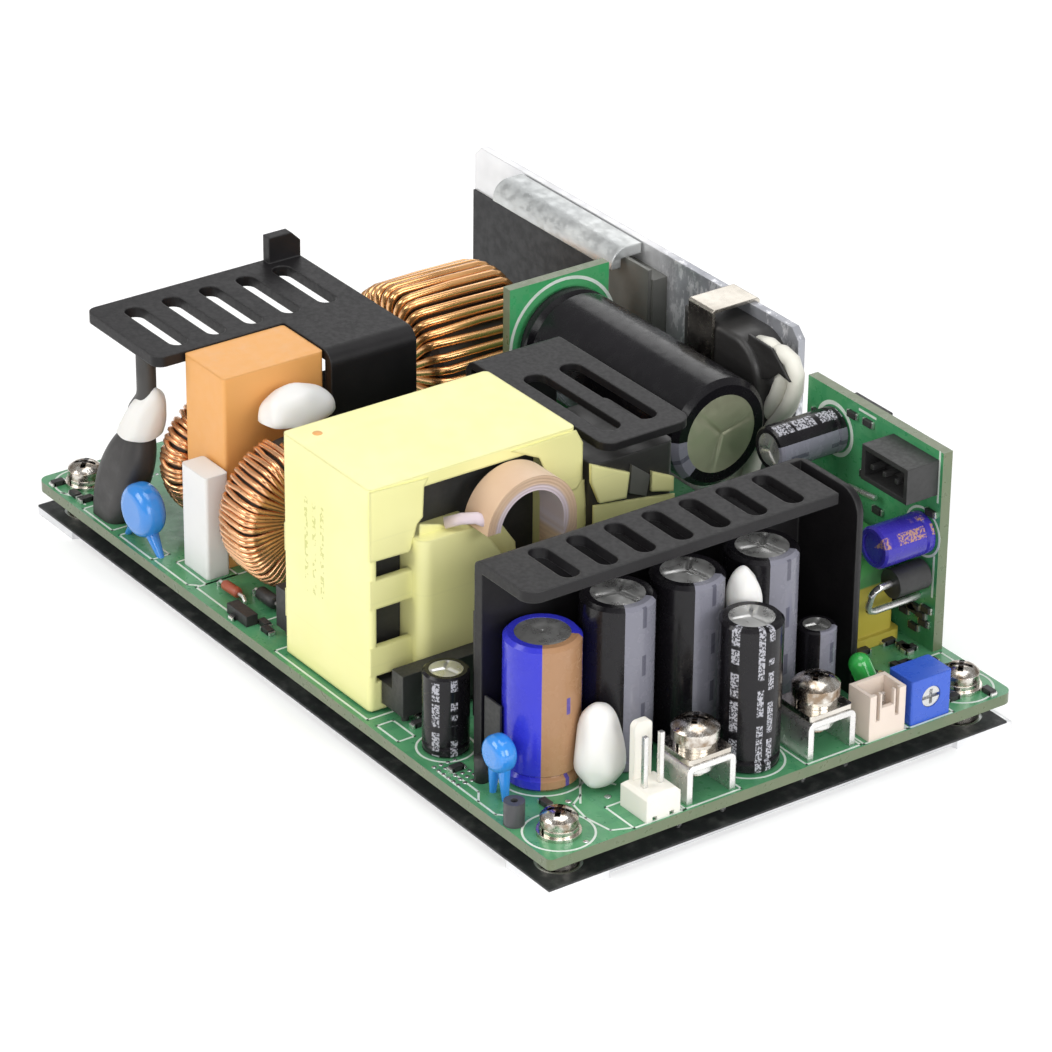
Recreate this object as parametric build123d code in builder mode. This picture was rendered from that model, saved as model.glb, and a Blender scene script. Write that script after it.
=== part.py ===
from build123d import *
import os

# Open-frame mains power supply, in millimetres.
# Origin: middle of the four corner screws, on the underside of the base plate.
# +X runs along the board to the output terminals, +Y to the upright wall, +Z up.

os.makedirs("parts", exist_ok=True)

# Board and base
board_length = 127.0
board_width = 76.2
board_thickness = 1.6
board_corner = 1.6
board_near_corner = 0.8
hole_inset = 5.08
board_hole_radius = 1.65
plate_thickness = 1.2
bend_inside = 0.7
wall_length = 78.0
wall_height = 33.7
wall_corner = 1.5
ear_size = 9.5
edge_recess = 1.0
recess_round = 0.9

# Insulating sheet
film_thickness = 0.3
film_clearance = 0.2
film_height = 26.5
film_upstand_length = 37.5
film_hole_clearance = 0.4

# Corner fasteners
standoff_height = 3.0
standoff_radius = 2.8
standoff_shank_radius = 2.1
tapped_radius = 1.25
free_thread_depth = 2.5
thread_clearance = 0.05
seat_clearance = 0.05
flat_washer_radius = 2.95
flat_washer_thickness = 0.5
spring_washer_radius = 2.6
spring_washer_thickness = 0.8
spring_washer_gap = 0.6
washer_bore_radius = 1.6
screw_radius = 1.5
screw_head_radius = 2.5
screw_head_height = 2.1
screw_reach = 1.3
screw_point = 0.3
cross_width = 0.7
cross_length = 3.0
cross_depth = 1.1

# Heatsinks, each one folded sheet
sink_sheet = 1.6
sink_bend = 2.2
slot_width = 3.0

half_length = board_length / 2
half_width = board_width / 2
deck = plate_thickness + standoff_height + board_thickness
board_bottom = plate_thickness + standoff_height
wall_face = half_width + film_clearance + film_thickness
wall_back = wall_face + plate_thickness
wall_top = deck + wall_height
spacing_x = board_length - 2 * hole_inset
spacing_y = board_width - 2 * hole_inset


def write(piece, name):
    """Label a finished piece and write its file."""
    piece.part.label = name
    export_step(piece.part, f"parts/{name}.step")


def upright_plane(x, y, height=0.0):
    """Plane facing -Y through a spot over the board, its own y pointing up."""
    return Plane(origin=(x, y, deck + height), x_dir=(1, 0, 0), z_dir=(0, -1, 0))


def block(x_span, y_span, z_span, edge=0.0):
    """Rounded box over the board, between the given limits."""
    with BuildPart() as piece:
        with BuildSketch(Plane.XY.offset(deck + z_span[0])):
            with Locations(((x_span[0] + x_span[1]) / 2, (y_span[0] + y_span[1]) / 2)):
                Rectangle(x_span[1] - x_span[0], y_span[1] - y_span[0])
        extrude(amount=z_span[1] - z_span[0])
        if edge:
            fillet(piece.edges().filter_by(Axis.Z), edge)
    return piece


def can_capacitor(base, diameter, length):
    """Sleeved can: beaded foot, rolled rim and sunk end disc, standing on the base plane."""
    radius = diameter / 2
    bead_height = 0.09 * diameter + 0.6
    bead_depth = 0.045 * diameter
    rim_width = 0.14 * diameter
    rim_round = 0.05 * diameter
    sunk = 0.25
    half_section = Plane(origin=base.origin, x_dir=base.x_dir, z_dir=-base.y_dir)
    with BuildPart() as can:
        with BuildSketch(half_section):
            with BuildLine():
                Polyline(
                    (0, 0),
                    (radius - bead_depth, 0),
                    (radius, bead_depth),
                    (radius, bead_height),
                    (radius - bead_depth, bead_height + bead_depth),
                    (radius, bead_height + 2 * bead_depth),
                    (radius, length - rim_round),
                    (radius - rim_round, length),
                    (radius - rim_width, length),
                    (radius - rim_width, length - sunk),
                    (0, length - sunk),
                    close=True,
                )
            make_face()
        revolve(axis=Axis(base.origin, base.z_dir))
    return can


# Base bracket: one folded sheet with the plate, its corner ears and the upright wall
with BuildPart() as base_bracket:
    with BuildSketch(Plane.YZ.offset(-half_length)) as fold:
        with Locations(((wall_back - half_width) / 2, plate_thickness / 2)):
            Rectangle(wall_back + half_width, plate_thickness)
        with Locations((wall_face + plate_thickness / 2, wall_top / 2)):
            Rectangle(plate_thickness, wall_top)
        inner = fold.vertices().sort_by_distance((wall_face, plate_thickness))[0]
        fillet(inner, bend_inside)
        outer = fold.vertices().sort_by_distance((wall_back, 0))[0]
        fillet(outer, bend_inside + plate_thickness)
    extrude(amount=wall_length)
    with BuildSketch():
        with Locations((wall_length / 2, 0)):
            Rectangle(board_length - wall_length, board_width)
    extrude(amount=plate_thickness)
    with BuildSketch():
        with Locations((0, -half_width)):
            RectangleRounded(board_length - 2 * ear_size, 2 * edge_recess, recess_round)
        with Locations((-half_length, 0), (half_length, 0)):
            RectangleRounded(2 * edge_recess, board_width - 2 * ear_size, recess_round)
    extrude(amount=plate_thickness, mode=Mode.SUBTRACT)
    with GridLocations(spacing_x, spacing_y, 2, 2):
        Hole(standoff_shank_radius + seat_clearance)
    top_corners = base_bracket.edges().filter_by(Axis.Y).group_by(Axis.Z)[-1]
    chamfer(top_corners, wall_corner)

# Clamp bar's place, needed by the wall's screw holes
bar_inset = 12.5
bar_start = bar_inset - half_length
bar_length = 29.5
bar_leg_length = 25.0
bar_sheet = 1.6
bar_reach = 5.2
bar_lip = 3.0
bar_back_height = 9.0
bar_drop = 0.1
bar_bend = 2.6
bar_face = wall_face - film_thickness
bar_top = wall_top - bar_drop
bar_screw_spacing = 16.0
bar_screw_drop = 5.2
bar_screw_head_radius = 2.4
bar_screw_head_height = 1.1
bar_middle = bar_start + bar_leg_length / 2
bar_screw_spots = [(bar_middle - bar_screw_spacing / 2), (bar_middle + bar_screw_spacing / 2)]
bar_screw_z = bar_top - bar_screw_drop


def wall_side_plane(x, z):
    """Plane on the wall's outer face, facing outwards."""
    return Plane(origin=(x, wall_back, z), x_dir=(1, 0, 0), z_dir=(0, 1, 0))


with BuildPart() as wall_holes:
    for spot in bar_screw_spots:
        with BuildSketch(wall_side_plane(spot, bar_screw_z)):
            Circle(bar_screw_head_radius + seat_clearance)
        extrude(amount=-bar_screw_head_height, taper=45)
        with BuildSketch(wall_side_plane(spot, bar_screw_z)):
            Circle(tapped_radius + seat_clearance)
        extrude(amount=-plate_thickness)
base_bracket.part = base_bracket.part - wall_holes.part
write(base_bracket, "base_bracket")
film_end = film_upstand_length - half_length

# Insulating sheet: lies on the plate and stands up in front of the wall
with BuildPart() as insulating_sheet:
    with BuildSketch(Plane.YZ.offset(-half_length)) as film_fold:
        film_middle = (wall_face - half_width) / 2
        with Locations((film_middle, plate_thickness + film_thickness / 2)):
            Rectangle(wall_face + half_width, film_thickness)
        film_rise = deck + film_height - plate_thickness
        with Locations((wall_face - film_thickness / 2, plate_thickness + film_rise / 2)):
            Rectangle(film_thickness, film_rise)
        crease = film_fold.vertices().sort_by_distance((wall_face, plate_thickness))[0]
        fillet(crease, bend_inside)
    extrude(amount=film_upstand_length)
    with BuildSketch(Plane.XY.offset(plate_thickness)):
        flat_far = wall_face - 2 * bend_inside
        with Locations((film_upstand_length / 2, (flat_far - half_width) / 2)):
            Rectangle(board_length - film_upstand_length, flat_far + half_width)
    extrude(amount=film_thickness)
    with GridLocations(spacing_x, spacing_y, 2, 2):
        Hole(standoff_radius + film_hole_clearance)
write(insulating_sheet, "insulating_sheet")

# Main board
with BuildPart() as main_board:
    with BuildSketch(Plane.XY.offset(board_bottom)):
        Rectangle(board_length, board_width)
    extrude(amount=board_thickness)
    uprights = main_board.edges().filter_by(Axis.Z)
    near_corner = uprights.sort_by_distance((half_length, -half_width, deck))[0]
    fillet(near_corner, board_near_corner)
    rounded = [edge for edge in main_board.edges().filter_by(Axis.Z) if not (
        edge.center().X > 0 and edge.center().Y < 0)]
    fillet(rounded, board_corner)
    with GridLocations(spacing_x, spacing_y, 2, 2):
        Hole(board_hole_radius)
write(main_board, "main_board")

# Four standoffs pressed into the plate, tapped right through: the thread has its core size
# where it is free from below, and its full size where the corner screws fill it
with BuildPart() as board_standoffs:
    with BuildSketch(Plane.XY.offset(plate_thickness)):
        with GridLocations(spacing_x, spacing_y, 2, 2):
            Circle(standoff_radius)
    extrude(amount=standoff_height)
    with BuildSketch():
        with GridLocations(spacing_x, spacing_y, 2, 2):
            Circle(standoff_shank_radius)
    extrude(amount=plate_thickness)
    with GridLocations(spacing_x, spacing_y, 2, 2):
        Hole(tapped_radius)
    with BuildSketch(Plane.XY.offset(free_thread_depth)):
        with GridLocations(spacing_x, spacing_y, 2, 2):
            Circle(screw_radius + thread_clearance)
    extrude(amount=board_bottom - free_thread_depth, mode=Mode.SUBTRACT)
write(board_standoffs, "board_standoffs")

# Flat washers and pan-head screws at the corners
with BuildPart() as flat_washers:
    with BuildSketch(Plane.XY.offset(deck)):
        with GridLocations(spacing_x, spacing_y, 2, 2):
            Circle(flat_washer_radius)
            Circle(washer_bore_radius, mode=Mode.SUBTRACT)
    extrude(amount=flat_washer_thickness)
write(flat_washers, "flat_washers")


def pan_screw(spots, seat, head_radius, head_height, shank_radius, reach):
    """Pan-head screws with a cross recess and a pointed end, reach below their seat."""
    with BuildPart() as screws:
        for spot in spots:
            middle = Plane(origin=(spot[0], spot[1], seat), x_dir=(1, 0, 0), z_dir=(0, -1, 0))
            with BuildSketch(middle):
                with BuildLine():
                    crown = head_height * 0.45
                    rim = Line((head_radius, 0), (head_radius, head_height - crown))
                    top = ThreePointArc(
                        rim @ 1,
                        (head_radius * 0.72, head_height - crown * 0.35),
                        (0, head_height),
                    )
                    Polyline(
                        top @ 1,
                        (0, -reach),
                        (shank_radius - screw_point, -reach),
                        (shank_radius, screw_point - reach),
                        (shank_radius, 0),
                        rim @ 0,
                    )
                make_face()
            revolve(axis=Axis((spot[0], spot[1], seat), (0, 0, 1)))
            with BuildSketch(Plane.XY.offset(seat + head_height)):
                with Locations((spot[0], spot[1])):
                    Rectangle(cross_length, cross_width, rotation=45)
                    Rectangle(cross_width, cross_length, rotation=45)
            extrude(amount=-cross_depth, mode=Mode.SUBTRACT)
    return screws


corner_spots = [(sx * spacing_x / 2, sy * spacing_y / 2) for sx in (-1, 1) for sy in (-1, 1)]
spring_seat = deck + flat_washer_thickness
screw_seat = spring_seat + spring_washer_thickness
screw_length = screw_seat - board_bottom + screw_reach
corner_screws = pan_screw(
    corner_spots, screw_seat, screw_head_radius, screw_head_height, screw_radius, screw_length
)
write(corner_screws, "corner_screws")

# Clamp bar: folded strip whose back leg is screwed to the wall
with BuildPart() as clamp_bar:
    with BuildSketch(Plane.YZ.offset(bar_start)) as bar_fold:
        with Locations((bar_face - bar_reach / 2, bar_top - bar_sheet / 2)):
            Rectangle(bar_reach, bar_sheet)
        with Locations((bar_face - bar_reach + bar_sheet / 2, bar_top - bar_lip / 2)):
            Rectangle(bar_sheet, bar_lip)
        front = bar_fold.vertices().sort_by_distance((bar_face - bar_reach, bar_top))[0]
        fillet(front, bar_bend)
    extrude(amount=bar_length)
    with BuildSketch(Plane.YZ.offset(bar_start)):
        with Locations((bar_face - bar_sheet / 2, bar_top - bar_back_height / 2)):
            Rectangle(bar_sheet, bar_back_height)
    extrude(amount=bar_leg_length)
    for spot in bar_screw_spots:
        with BuildSketch(Plane(origin=(spot, bar_face, bar_screw_z), z_dir=(0, 1, 0))):
            Circle(tapped_radius)
        extrude(amount=-bar_sheet, mode=Mode.SUBTRACT)
write(clamp_bar, "clamp_bar")

# Two countersunk screws that hold the bar, flush with the wall's outer face
with BuildPart() as clamp_screws:
    for spot in bar_screw_spots:
        with BuildSketch(wall_side_plane(spot, bar_screw_z)):
            Circle(bar_screw_head_radius)
        extrude(amount=-bar_screw_head_height, taper=45)
        with BuildSketch(wall_side_plane(spot, bar_screw_z)):
            Circle(tapped_radius - thread_clearance)
        extrude(amount=-(wall_back - bar_face + bar_sheet))
        with BuildSketch(wall_side_plane(spot, bar_screw_z)):
            Rectangle(cross_length, cross_width, rotation=45)
            Rectangle(cross_width, cross_length, rotation=45)
        extrude(amount=-bar_screw_head_height / 2, mode=Mode.SUBTRACT)
write(clamp_screws, "clamp_screws")

# Flat transistor on the wall with the shim plate in front of it
device_gap = 1.0
device_start = film_end + device_gap
device_width = 9.4
device_thickness = 2.5
shim_thickness = 0.6
shim_shift = 0.4
shim_low = 6.0
shim_top = 32.0
device_low = 8.0
device_top = 30.5
lead_width = 1.0
lead_thickness = 0.6
lead_pitch = 2.54
with BuildPart() as wall_transistors:
    device_middle = device_start + device_width / 2
    with BuildSketch(Plane.XY.offset(deck + device_low)):
        with Locations((device_middle, wall_face - device_thickness / 2)):
            Rectangle(device_width, device_thickness)
    extrude(amount=device_top - device_low)
    with BuildSketch(Plane.XY.offset(deck)):
        with Locations((device_middle, wall_face - device_thickness / 2)):
            with GridLocations(lead_pitch, 1, 3, 1):
                Rectangle(lead_width, lead_thickness)
    extrude(amount=device_low)
    shim_middle = wall_face - device_thickness - shim_thickness / 2
    with BuildSketch(Plane.XY.offset(deck + shim_low)):
        with Locations((device_middle - shim_shift, shim_middle)):
            Rectangle(device_width, shim_thickness)
    extrude(amount=shim_top - shim_low)
write(wall_transistors, "wall_transistors")

# Taped device under the spring clip
taped_start = -4.0
taped_length = 17.0
taped_low = 19.5
taped_top = 32.0
taped_depth = 6.0
taped_end_round = 5.5
taped_edge = 0.8
taped_front = wall_face - taped_depth
with BuildPart() as taped_device:
    with BuildSketch(upright_plane(taped_start, wall_face)) as outline:
        with Locations((taped_length / 2, (taped_low + taped_top) / 2)):
            Rectangle(taped_length, taped_top - taped_low)
        far_top = outline.vertices().sort_by_distance((taped_length, taped_top))[0]
        fillet(far_top, taped_end_round)
    extrude(amount=taped_depth)
    front_rim = taped_device.faces().sort_by(Axis.Y)[0].edges()
    fillet(front_rim, taped_edge)
write(taped_device, "taped_device")

# Spring clip: bent strip that hooks over the wall and presses on the taped device
clip_start = -2.0
clip_width = 5.5
clip_sheet = 0.5
clip_back = 6.0
clip_front = 9.0
clip_gap = 0.05
with BuildPart() as spring_clip:
    clip_outer = wall_back + clip_sheet
    clip_inner = taped_front - clip_gap - clip_sheet
    clip_top = wall_top + clip_sheet
    with BuildSketch(Plane.YZ.offset(clip_start)) as strip:
        with Locations(((clip_outer + clip_inner) / 2, clip_top - clip_sheet / 2)):
            Rectangle(clip_outer - clip_inner, clip_sheet)
        with Locations((clip_outer - clip_sheet / 2, clip_top - clip_back / 2)):
            Rectangle(clip_sheet, clip_back)
        with Locations((clip_inner + clip_sheet / 2, clip_top - clip_front / 2)):
            Rectangle(clip_sheet, clip_front)
        ends = strip.vertices().group_by(Axis.Y)[-1]
        fillet(ends, clip_sheet * 0.9)
    extrude(amount=clip_width)
write(spring_clip, "spring_clip")

# White sleeves over the taped device's two leads
sleeve_radius = 1.2
sleeve_pitch = 2.9
sleeve_lean = 3.4
sleeve_x = 10.9
sleeve_depth = 3.2
sleeve_straight = 2.0
sleeve_foot = 5.0
sleeve_bend = 3.0
sleeve_y = wall_face - sleeve_depth
with BuildPart() as white_lead_sleeves:
    for shift in (0, 1):
        top_x = sleeve_x - shift * sleeve_pitch
        low_x = top_x - sleeve_lean
        with BuildLine() as sleeve_route:
            FilletPolyline(
                (top_x, sleeve_y, deck + taped_low),
                (top_x, sleeve_y, deck + taped_low - sleeve_straight),
                (low_x, sleeve_y, deck + sleeve_foot),
                (low_x, sleeve_y, deck),
                radius=sleeve_bend,
            )
        with BuildSketch(Plane(origin=sleeve_route.line @ 0, z_dir=sleeve_route.line % 0)):
            Circle(sleeve_radius)
        sweep(path=sleeve_route.line)
write(white_lead_sleeves, "white_lead_sleeves")


# Boost choke: wide ring core wound with thick wire in two layers, its axis along Y
def ring_core(base, outer_radius, inner_radius, width, edge):
    """Coated ring core centred on the base plane, its axis along the plane's z."""
    with BuildPart() as core:
        with BuildSketch(base.offset(-width / 2)):
            Circle(outer_radius)
            Circle(inner_radius, mode=Mode.SUBTRACT)
        extrude(amount=width)
        chamfer(core.edges().filter_by(GeomType.CIRCLE), edge)
    return core


boost_x = -38.7
boost_y = 16.0
boost_z = 14.0
boost_core_outer = 12.2
boost_core_inner = 6.6
boost_core_width = 16.6
boost_wire = 1.2
boost_turns = 40
boost_gap_angle = 30.0
core_edge = 0.8
wire_clearance = 0.1
boost_plane = Plane(origin=(boost_x, boost_y, deck + boost_z), x_dir=(1, 0, 0), z_dir=(0, 1, 0))
boost_choke_core = ring_core(
    boost_plane, boost_core_outer, boost_core_inner, boost_core_width, core_edge
)
write(boost_choke_core, "boost_choke_core")

# Every second turn lies a wire further in and out at the sides, because the hole is too small
# for all of them side by side
with BuildPart() as boost_choke_winding:
    wire_radius = boost_wire / 2
    layer_step = boost_wire + wire_clearance
    loop_out = boost_core_outer + wire_clearance + wire_radius
    angle_step = (360 - boost_gap_angle) / (boost_turns - 1)
    for turn in range(boost_turns):
        layer = turn % 2
        loop_in = boost_core_inner - wire_clearance - wire_radius - layer * layer_step
        loop_side = boost_core_width / 2 + wire_clearance + wire_radius + layer * layer_step
        angle = boost_gap_angle / 2 - 90 + turn * angle_step
        radial = Vector(1, 0, 0).rotate(Axis.Y, -angle)
        centre = Vector(boost_x, boost_y, deck + boost_z)
        side = Vector(0, loop_side, 0)
        corners = [
            centre + radial * loop_out - side,
            centre + radial * loop_out + side,
            centre + radial * loop_in + side,
            centre + radial * loop_in - side,
        ]
        start = (corners[0] + corners[1]) * 0.5
        with BuildLine() as loop:
            Polyline(start, corners[1], corners[2], corners[3], corners[0], start)
        with BuildSketch(Plane(origin=start, z_dir=(0, 1, 0))):
            RegularPolygon(wire_radius, 6)
        sweep(path=loop.line, transition=Transition.RIGHT)
write(boost_choke_winding, "boost_choke_winding")


# Line chokes: ring core on edge with two half windings, its axis along X
def line_choke(x, y, z, outer, inner, width, wall):
    """Core and two winding halves of a common-mode choke."""
    base = Plane(origin=(x, y, deck + z), x_dir=(0, 1, 0), z_dir=(1, 0, 0))
    core = ring_core(base, outer - wall, inner + wall, width - 2 * wall, core_edge)
    with BuildPart() as winding:
        with BuildSketch(base.offset(-width / 2)):
            Circle(outer)
            Circle(inner, mode=Mode.SUBTRACT)
            Rectangle(choke_split, 2 * outer + 1, mode=Mode.SUBTRACT)
        extrude(amount=width)
        chamfer(winding.edges().filter_by(GeomType.CIRCLE), wall * 0.6)
        with BuildSketch(base.offset(-width / 2 + wall)):
            Circle(outer - wall + wire_clearance)
            Circle(inner + wall - wire_clearance, mode=Mode.SUBTRACT)
        extrude(amount=width - 2 * wall, mode=Mode.SUBTRACT)
    return core, winding


right_choke_x = -16.0
right_choke_y = -24.2
right_choke_outer = 11.2
right_choke_width = 9.0
left_choke_x = -38.2
left_choke_y = -22.0
left_choke_outer = 10.1
left_choke_width = 6.2
choke_lift = 0.3
choke_wall = 1.1
choke_inner = 3.4
choke_split = 4.0
right_choke_core, right_choke_winding = line_choke(
    right_choke_x,
    right_choke_y,
    right_choke_outer + choke_lift,
    right_choke_outer,
    choke_inner,
    right_choke_width,
    choke_wall,
)
write(right_choke_core, "right_choke_core")
write(right_choke_winding, "right_choke_winding")
left_choke_core, left_choke_winding = line_choke(
    left_choke_x,
    left_choke_y,
    left_choke_outer + choke_lift,
    left_choke_outer,
    choke_inner,
    left_choke_width,
    choke_wall,
)
write(left_choke_core, "left_choke_core")
write(left_choke_winding, "left_choke_winding")

# Input heatsink: slotted top with a notch, one leg folded down and a lug folded up
input_sink_left = -54.3
input_sink_right = -23.0
input_sink_near = -34.5
input_sink_far = 0.5
input_sink_top = 29.5
near_corner_round = 1.6
notch_x = -35.1
notch_y = -13.7
input_slot_length = 14.3
input_slot_x = -44.2
input_slot_y = -16.7
input_slot_pitch = 6.15
lug_width = 5.3
lug_height = 4.0
lug_corner = 1.5
with BuildPart() as input_heatsink:
    with BuildSketch(Plane.XY.offset(deck + input_sink_top - sink_sheet)) as sheet:
        with BuildLine():
            Polyline(
                (input_sink_left, input_sink_near),
                (notch_x, input_sink_near),
                (notch_x, notch_y),
                (input_sink_right, notch_y),
                (input_sink_right, input_sink_far),
                (input_sink_left, input_sink_far),
                close=True,
            )
        make_face()
        near_corners = sheet.vertices().group_by(Axis.Y)[0]
        fillet(near_corners, near_corner_round)
        with Locations((input_slot_x, input_slot_y)):
            with GridLocations(1, input_slot_pitch, 1, 5):
                SlotOverall(input_slot_length, slot_width, mode=Mode.SUBTRACT)
    extrude(amount=sink_sheet)
    with BuildSketch(Plane.XY.offset(deck)):
        with Locations((input_sink_right - sink_sheet / 2, (notch_y + input_sink_far) / 2)):
            Rectangle(sink_sheet, input_sink_far - notch_y)
    extrude(amount=input_sink_top)
    fold_edges = input_heatsink.edges().filter_by(Axis.Y)
    fold_out = fold_edges.sort_by_distance((input_sink_right, notch_y / 2, deck + input_sink_top))[0]
    fillet(fold_out, sink_bend)
    lug_top = deck + input_sink_top + lug_height
    with BuildSketch(Plane.YZ.offset(input_sink_left)) as lug:
        with Locations((input_sink_far - lug_width / 2, lug_top - (lug_height + sink_sheet) / 2)):
            Rectangle(lug_width, lug_height + sink_sheet)
        chamfer(lug.vertices().sort_by_distance((input_sink_far, lug_top))[0], lug_corner)
    extrude(amount=sink_sheet)
write(input_heatsink, "input_heatsink")

# Bridge rectifier clamped against the heatsink's leg
bridge_thickness = 4.0
bridge_width = 13.0
bridge_low = 5.0
bridge_top = 24.0
bridge_corner = 2.5
bridge_lead_pitch = 3.4
bridge_right = input_sink_right - sink_sheet
bridge_y = (notch_y + input_sink_far) / 2
with BuildPart() as bridge_rectifier:
    with BuildSketch(Plane.YZ.offset(bridge_right - bridge_thickness)) as face:
        with Locations((bridge_y, deck + (bridge_low + bridge_top) / 2)):
            Rectangle(bridge_width, bridge_top - bridge_low)
        marked = face.vertices().sort_by_distance((bridge_y + bridge_width, deck + bridge_top))[0]
        chamfer(marked, bridge_corner)
    extrude(amount=bridge_thickness)
    with BuildSketch(Plane.XY.offset(deck)):
        with Locations((bridge_right - bridge_thickness / 2, bridge_y)):
            with GridLocations(1, bridge_lead_pitch, 1, 4):
                Rectangle(lead_thickness, lead_width)
    extrude(amount=bridge_low)
write(bridge_rectifier, "bridge_rectifier")

# Orange film capacitor in the heatsink's notch
notch_clearance = 0.2
film_cap_length = 10.2
film_cap_width = 16.3
film_cap_height = 29.3
film_cap_edge = 0.5
film_cap_left = notch_x + notch_clearance
film_cap_far = notch_y - notch_clearance
film_cap_near = film_cap_far - film_cap_width
film_cap = block(
    (film_cap_left, film_cap_left + film_cap_length),
    (film_cap_near, film_cap_far),
    (0, film_cap_height),
    film_cap_edge,
)
write(film_cap, "film_capacitor")

# White box capacitor in front of it
white_box_left = -29.7
white_box_length = 6.4
white_box_width = 3.7
white_box_height = 15.8
white_box_gap = 0.4
white_box_far = film_cap_near - white_box_gap
white_box = block(
    (white_box_left, white_box_left + white_box_length),
    (white_box_far - white_box_width, white_box_far),
    (0, white_box_height),
    film_cap_edge,
)
write(white_box, "white_box_capacitor")

# Black sleeved part at the left edge: a leaning bag, narrower at its feet and at its neck
sleeved_x = -44.4
sleeved_y = -32.5
sleeved_lean_x = 3.4
sleeved_lean_y = 2.4
sleeved_levels = [0.0, 3.5, 9.5, 13.6]
sleeved_widths = [6.4, 8.4, 8.6, 5.6]
sleeved_depths = [4.2, 5.2, 5.6, 4.4]
with BuildPart() as sleeved_varistor:
    for level, width, depth in zip(sleeved_levels, sleeved_widths, sleeved_depths):
        share = 1 - level / sleeved_levels[-1]
        with BuildSketch(Plane.XY.offset(deck + level)):
            with Locations((sleeved_x - share * sleeved_lean_x, sleeved_y - share * sleeved_lean_y)):
                RectangleRounded(width, depth, depth * 0.45)
    loft()
write(sleeved_varistor, "sleeved_varistor")

# Black sleeve over the lead that rises from the bag's neck to the heatsink
black_sleeve_radius = 1.4
black_sleeve_shift = 3.0
black_sleeve_bend = 3.5
with BuildPart() as black_lead_sleeve:
    neck = deck + sleeved_levels[-1]
    under_sheet = deck + input_sink_top - sink_sheet
    sleeve_rise = (under_sheet - neck) / 4
    with BuildLine() as lead_route:
        FilletPolyline(
            (sleeved_x, sleeved_y, neck),
            (sleeved_x, sleeved_y, neck + sleeve_rise),
            (sleeved_x + black_sleeve_shift, sleeved_y, neck + 2 * sleeve_rise),
            (sleeved_x + black_sleeve_shift, sleeved_y, under_sheet),
            radius=black_sleeve_bend,
        )
    with BuildSketch(Plane.XY.offset(neck)):
        with Locations((sleeved_x, sleeved_y)):
            Circle(black_sleeve_radius)
    sweep(path=lead_route.line)
write(black_lead_sleeve, "black_lead_sleeve")


# Dipped disc capacitors: a lens-shaped disc whose coat runs down its two legs
def dipped_disc(x, y, z, diameter, thickness, leg_radius, leg_spread):
    """Disc facing -Y, standing on the board on two tapering legs."""
    with BuildPart() as disc:
        with BuildSketch(upright_plane(x, y + thickness / 2, z)):
            Circle(diameter / 2)
        extrude(amount=thickness)
        fillet(disc.edges().filter_by(GeomType.CIRCLE), thickness * 0.42)
        for side in (-1, 1):
            with BuildSketch(Plane.XY.offset(deck)):
                with Locations((x + side * leg_spread / 2, y)):
                    Circle(leg_radius)
            with BuildSketch(Plane.XY.offset(deck + z - 0.3 * diameter)):
                with Locations((x + side * diameter / 5, y)):
                    Circle(2 * leg_radius)
            loft()
    return disc


disc_diameter = 7.9
disc_thickness = 4.1
disc_clearance = 0.1
disc_x = -37.4
disc_z = 5.6
disc_leg_radius = 0.55
disc_leg_spread = 8.6
disc_y = disc_clearance + disc_thickness / 2 - half_width
disc_capacitor = dipped_disc(
    disc_x, disc_y, disc_z, disc_diameter, disc_thickness, disc_leg_radius, disc_leg_spread
)
write(disc_capacitor, "disc_capacitor")

small_disc_diameter = 5.2
small_disc_thickness = 3.2
small_disc_x = 46.9
small_disc_y = -34.2
small_disc_z = 6.4
small_disc_leg_radius = 0.45
small_disc_leg_spread = 2.8
small_disc_capacitor = dipped_disc(
    small_disc_x,
    small_disc_y,
    small_disc_z,
    small_disc_diameter,
    small_disc_thickness,
    small_disc_leg_radius,
    small_disc_leg_spread,
)
write(small_disc_capacitor, "small_disc_capacitor")


# Headers with a friction wall: open on the cable side
def friction_header(x, y, base_x, base_y, base_z, wall_width, wall_x, wall_z, edge):
    """Base block with the wall at its -X edge."""
    with BuildPart() as header:
        with BuildSketch(Plane.XY.offset(deck)):
            with Locations((x, y)):
                Rectangle(base_x, base_y)
        extrude(amount=base_z)
        chamfer(header.faces().sort_by(Axis.Z)[-1].edges(), edge)
        with BuildSketch(Plane.YZ.offset(x - base_x / 2)) as blade:
            with Locations((y, deck + wall_z / 2)):
                Rectangle(wall_width, wall_z)
            fillet(blade.vertices().group_by(Axis.Y)[-1], wall_width * 0.3)
        extrude(amount=wall_x)
        with BuildSketch(Plane.YZ.offset(x + base_x / 2)):
            with Locations((y, deck)):
                with GridLocations(base_y / 2, 1, 2, 1):
                    Rectangle(vent_width, 2 * vent_height)
        extrude(amount=-vent_depth, mode=Mode.SUBTRACT)
    return header


header_edge = 0.5
vent_width = 0.7
vent_height = 0.6
vent_depth = 1.0
header_inset = 0.4
output_header_length = 5.6
output_header_width = 5.4
output_header_base = 3.7
output_wall_width = 2.8
output_wall_sheet = 1.0
output_wall_height = 12.0
output_header_x = half_length - header_inset - output_header_length / 2
output_header_y = -20.0
output_header = friction_header(
    output_header_x,
    output_header_y,
    output_header_length,
    output_header_width,
    output_header_base,
    output_wall_width,
    output_wall_sheet,
    output_wall_height,
    header_edge,
)
write(output_header, "output_header")
input_header_inset = 1.2
input_header_length = 7.4
input_header_width = 11.8
input_header_base = 3.6
input_wall_width = 8.0
input_wall_sheet = 1.3
input_wall_height = 11.6
input_header_x = input_header_inset + input_header_length / 2 - half_length
input_header_y = -4.0
input_header = friction_header(
    input_header_x,
    input_header_y,
    input_header_length,
    input_header_width,
    input_header_base,
    input_wall_width,
    input_wall_sheet,
    input_wall_height,
    header_edge,
)
write(input_header, "input_header")

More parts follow.
